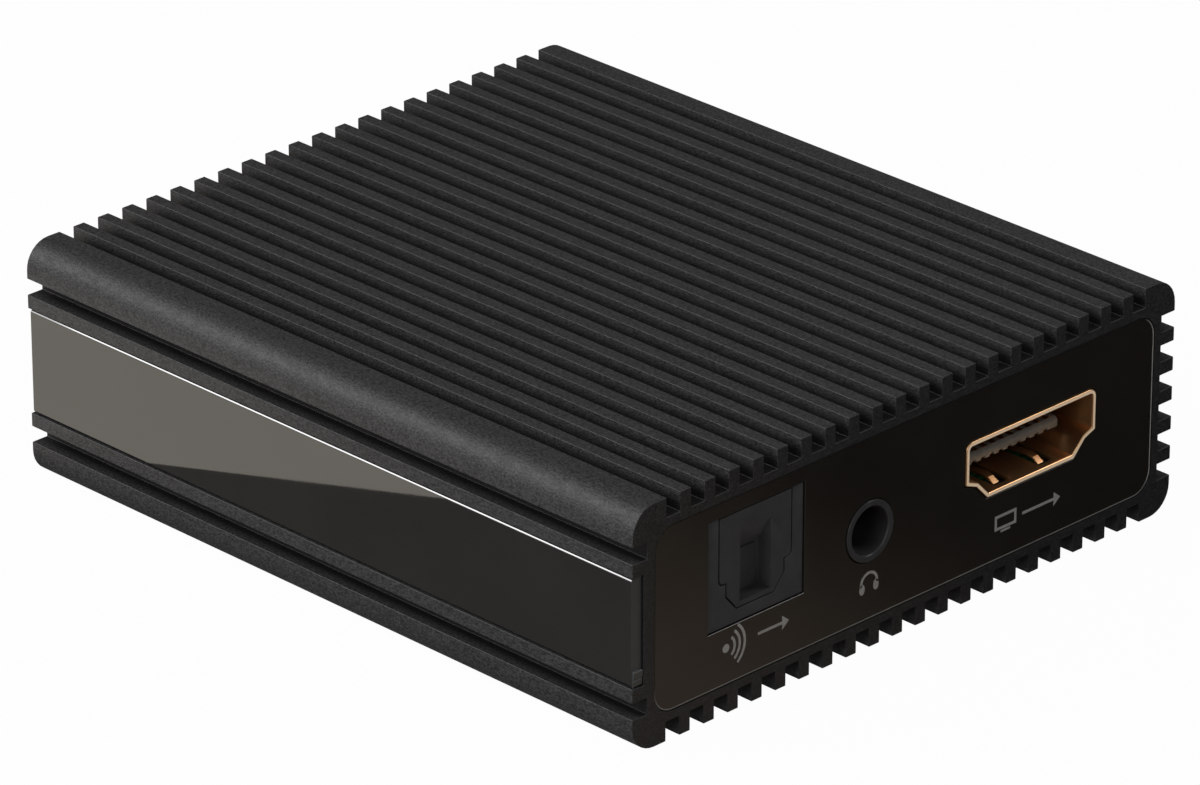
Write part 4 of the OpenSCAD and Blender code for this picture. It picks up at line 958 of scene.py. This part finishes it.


# The table, the reflection tent and the reflection sheets lie just under the object, one above the other
table_z = -0.03
cloth_z = -0.02
sheet_z = -0.01
table_reach = 3000
paper_share = 0.975
room_strength = 0.24
table_paper = bpy.data.materials.new("table_paper")
paper_tree = new_tree(table_paper)
paper = add_node(paper_tree, "ShaderNodeBsdfDiffuse", {"Color": linear("#c4c4c4")})
paper_white = add_node(paper_tree, "ShaderNodeEmission", {"Color": (1, 1, 1, 1), "Strength": 1.0})
paper_mix = add_node(paper_tree, "ShaderNodeMixShader", {
    "Fac": white_share(paper_tree, paper_share), 1: paper.outputs[0], 2: paper_white.outputs[0]})
add_node(paper_tree, "ShaderNodeOutputMaterial", {"Surface": paper_mix.outputs[0]})
add_sheets("table", [flat(-table_reach, table_reach, -table_reach, table_reach, table_z)], table_paper)

world = bpy.data.worlds.new("surround")
bpy.context.scene.world = world
world_tree = new_tree(world)
room = add_node(world_tree, "ShaderNodeBackground", {"Color": (1, 1, 1, 1), "Strength": room_strength})
room_white = add_node(world_tree, "ShaderNodeBackground", {"Color": (1, 1, 1, 1), "Strength": 1.0})
room_mix = add_node(world_tree, "ShaderNodeMixShader", {
    "Fac": white_share(world_tree, 1.0), 1: room.outputs[0], 2: room_white.outputs[0]})
add_node(world_tree, "ShaderNodeOutputWorld", {"Surface": room_mix.outputs[0]})
print("materials with the paper:", len(bpy.data.materials))


# %% [markdown]
# ## Painted reflections: a dim tent and pale sheets
#
# A black mirror shows nothing of itself, only its surroundings, and among white walls this box would turn
# grey. Photographers hang black cloth round such a thing. Here that is a tent that only mirror rays see and
# that glows faintly, a painted reflection of a dim room. Two glowing sheets lie on it, painted reflections
# of the lit floor: a pale one beside the box, whose slanting edge is the edge of a painted shadow of the box
# and draws the boundary across the side strip, and one in front whose light fades from left to right into
# painted shadow, which the panel mirrors.

# %% What only mirrors see
def glow(name, colour, strength, fade=None):
    """An even light for a sheet, or one that fades along X to another strength between two places."""
    material = bpy.data.materials.new(name)
    tree = new_tree(material)
    if fade:
        from_mm, to_mm, faded = fade
        strength = add_node(tree, "ShaderNodeMapRange", {
            "Value": axes_of(material)["X"], "From Min": from_mm * MM, "From Max": to_mm * MM,
            "To Min": strength, "To Max": faded}, interpolation_type="SMOOTHSTEP").outputs["Result"]
    light = add_node(tree, "ShaderNodeEmission", {"Color": linear(colour), "Strength": strength})
    add_node(tree, "ShaderNodeOutputMaterial", {"Surface": light.outputs[0]})
    return material


def add_mirrored(name, faces, material):
    """Adds sheets that are hidden from everything but mirror rays."""
    sheets = add_sheets(name, faces, material)
    sheets.visible_camera = False
    sheets.visible_diffuse = False
    sheets.visible_transmission = False
    sheets.visible_volume_scatter = False
    sheets.visible_shadow = False


tent = 1600
tent_corners = [(-tent, -tent), (tent, -tent), (tent, tent), (-tent, tent)]
tent_faces = [flat(-tent, tent, -tent, tent, cloth_z), flat(-tent, tent, -tent, tent, tent)]
for (x0, y0), (x1, y1) in zip(tent_corners, tent_corners[1:] + tent_corners[:1]):
    tent_faces.append([(x0, y0, cloth_z), (x1, y1, cloth_z), (x1, y1, tent), (x0, y0, tent)])
# Painted reflection of a dim room: the tent glows faintly, for mirror rays only.
add_mirrored("dim_room_reflection", tent_faces, glow("dim_room_reflection", "#fffaf4", 0.15))
# Painted reflection of the lit floor beside the box; its slanting edge is a painted shadow edge.
side_floor_reflection = [(-30.6, 43.5, sheet_z), (-30.6, 160, sheet_z), (-75, 160, sheet_z), (-75, -33.4, sheet_z)]
add_mirrored("side_floor_reflection", [side_floor_reflection], glow("side_floor_reflection_glow", "#f4ece0", 1.35))
# Painted reflection of the floor in front, fading into painted shadow towards the right.
front_floor_reflection = flat(-40, 160, -72, -34.7, sheet_z)
front_reflection_fade = glow("front_floor_reflection_glow", "#f6dcc2", 0.27, fade=(-26, 20, 0.02))
add_mirrored("front_floor_reflection", [front_floor_reflection], front_reflection_fade)
print("faces of the tent:", len(tent_faces))


# %% [markdown]
# ## The lamps
#
# An edge between the top and the left side turns halfway between them and mirrors two lamps to the camera:
# the large key draws the broad highlight on the rounded corner, and the small streak the bright line on the
# strip. An edge between the front and the top mirrors the front lamp, which draws the rims of the sockets.
# The fill stands above the camera and lights the hollows in the front, and the side lamp lights the strip's
# side.

# %% Lamps
def add_lamp(name, place, size, watts):
    """A square soft lamp that points at the middle of the object. Places and sizes are in millimetres."""
    data = bpy.data.lights.new(name, "AREA")
    data.size = size * MM
    data.energy = watts
    lamp = bpy.data.objects.new(name, data)
    lamp.location = Vector(place) * MM
    aim = Vector((0, 0, 10)) * MM
    lamp.rotation_euler = (aim - lamp.location).to_track_quat("-Z", "Y").to_euler()
    bpy.context.scene.collection.objects.link(lamp)


add_lamp("key", (-530, 620, 500), 560, 5.6)
add_lamp("streak", (-400, 612, 605), 140, 0.42)
add_lamp("front", (610, -400, 610), 360, 2.3)
add_lamp("fill", (-330, -690, 560), 220, 1.1)
add_lamp("side", (-640, -120, 250), 420, 2.4)
print("lamps:", len(bpy.data.lights))

# %% Look
bpy.context.scene.view_settings.view_transform = "Standard"
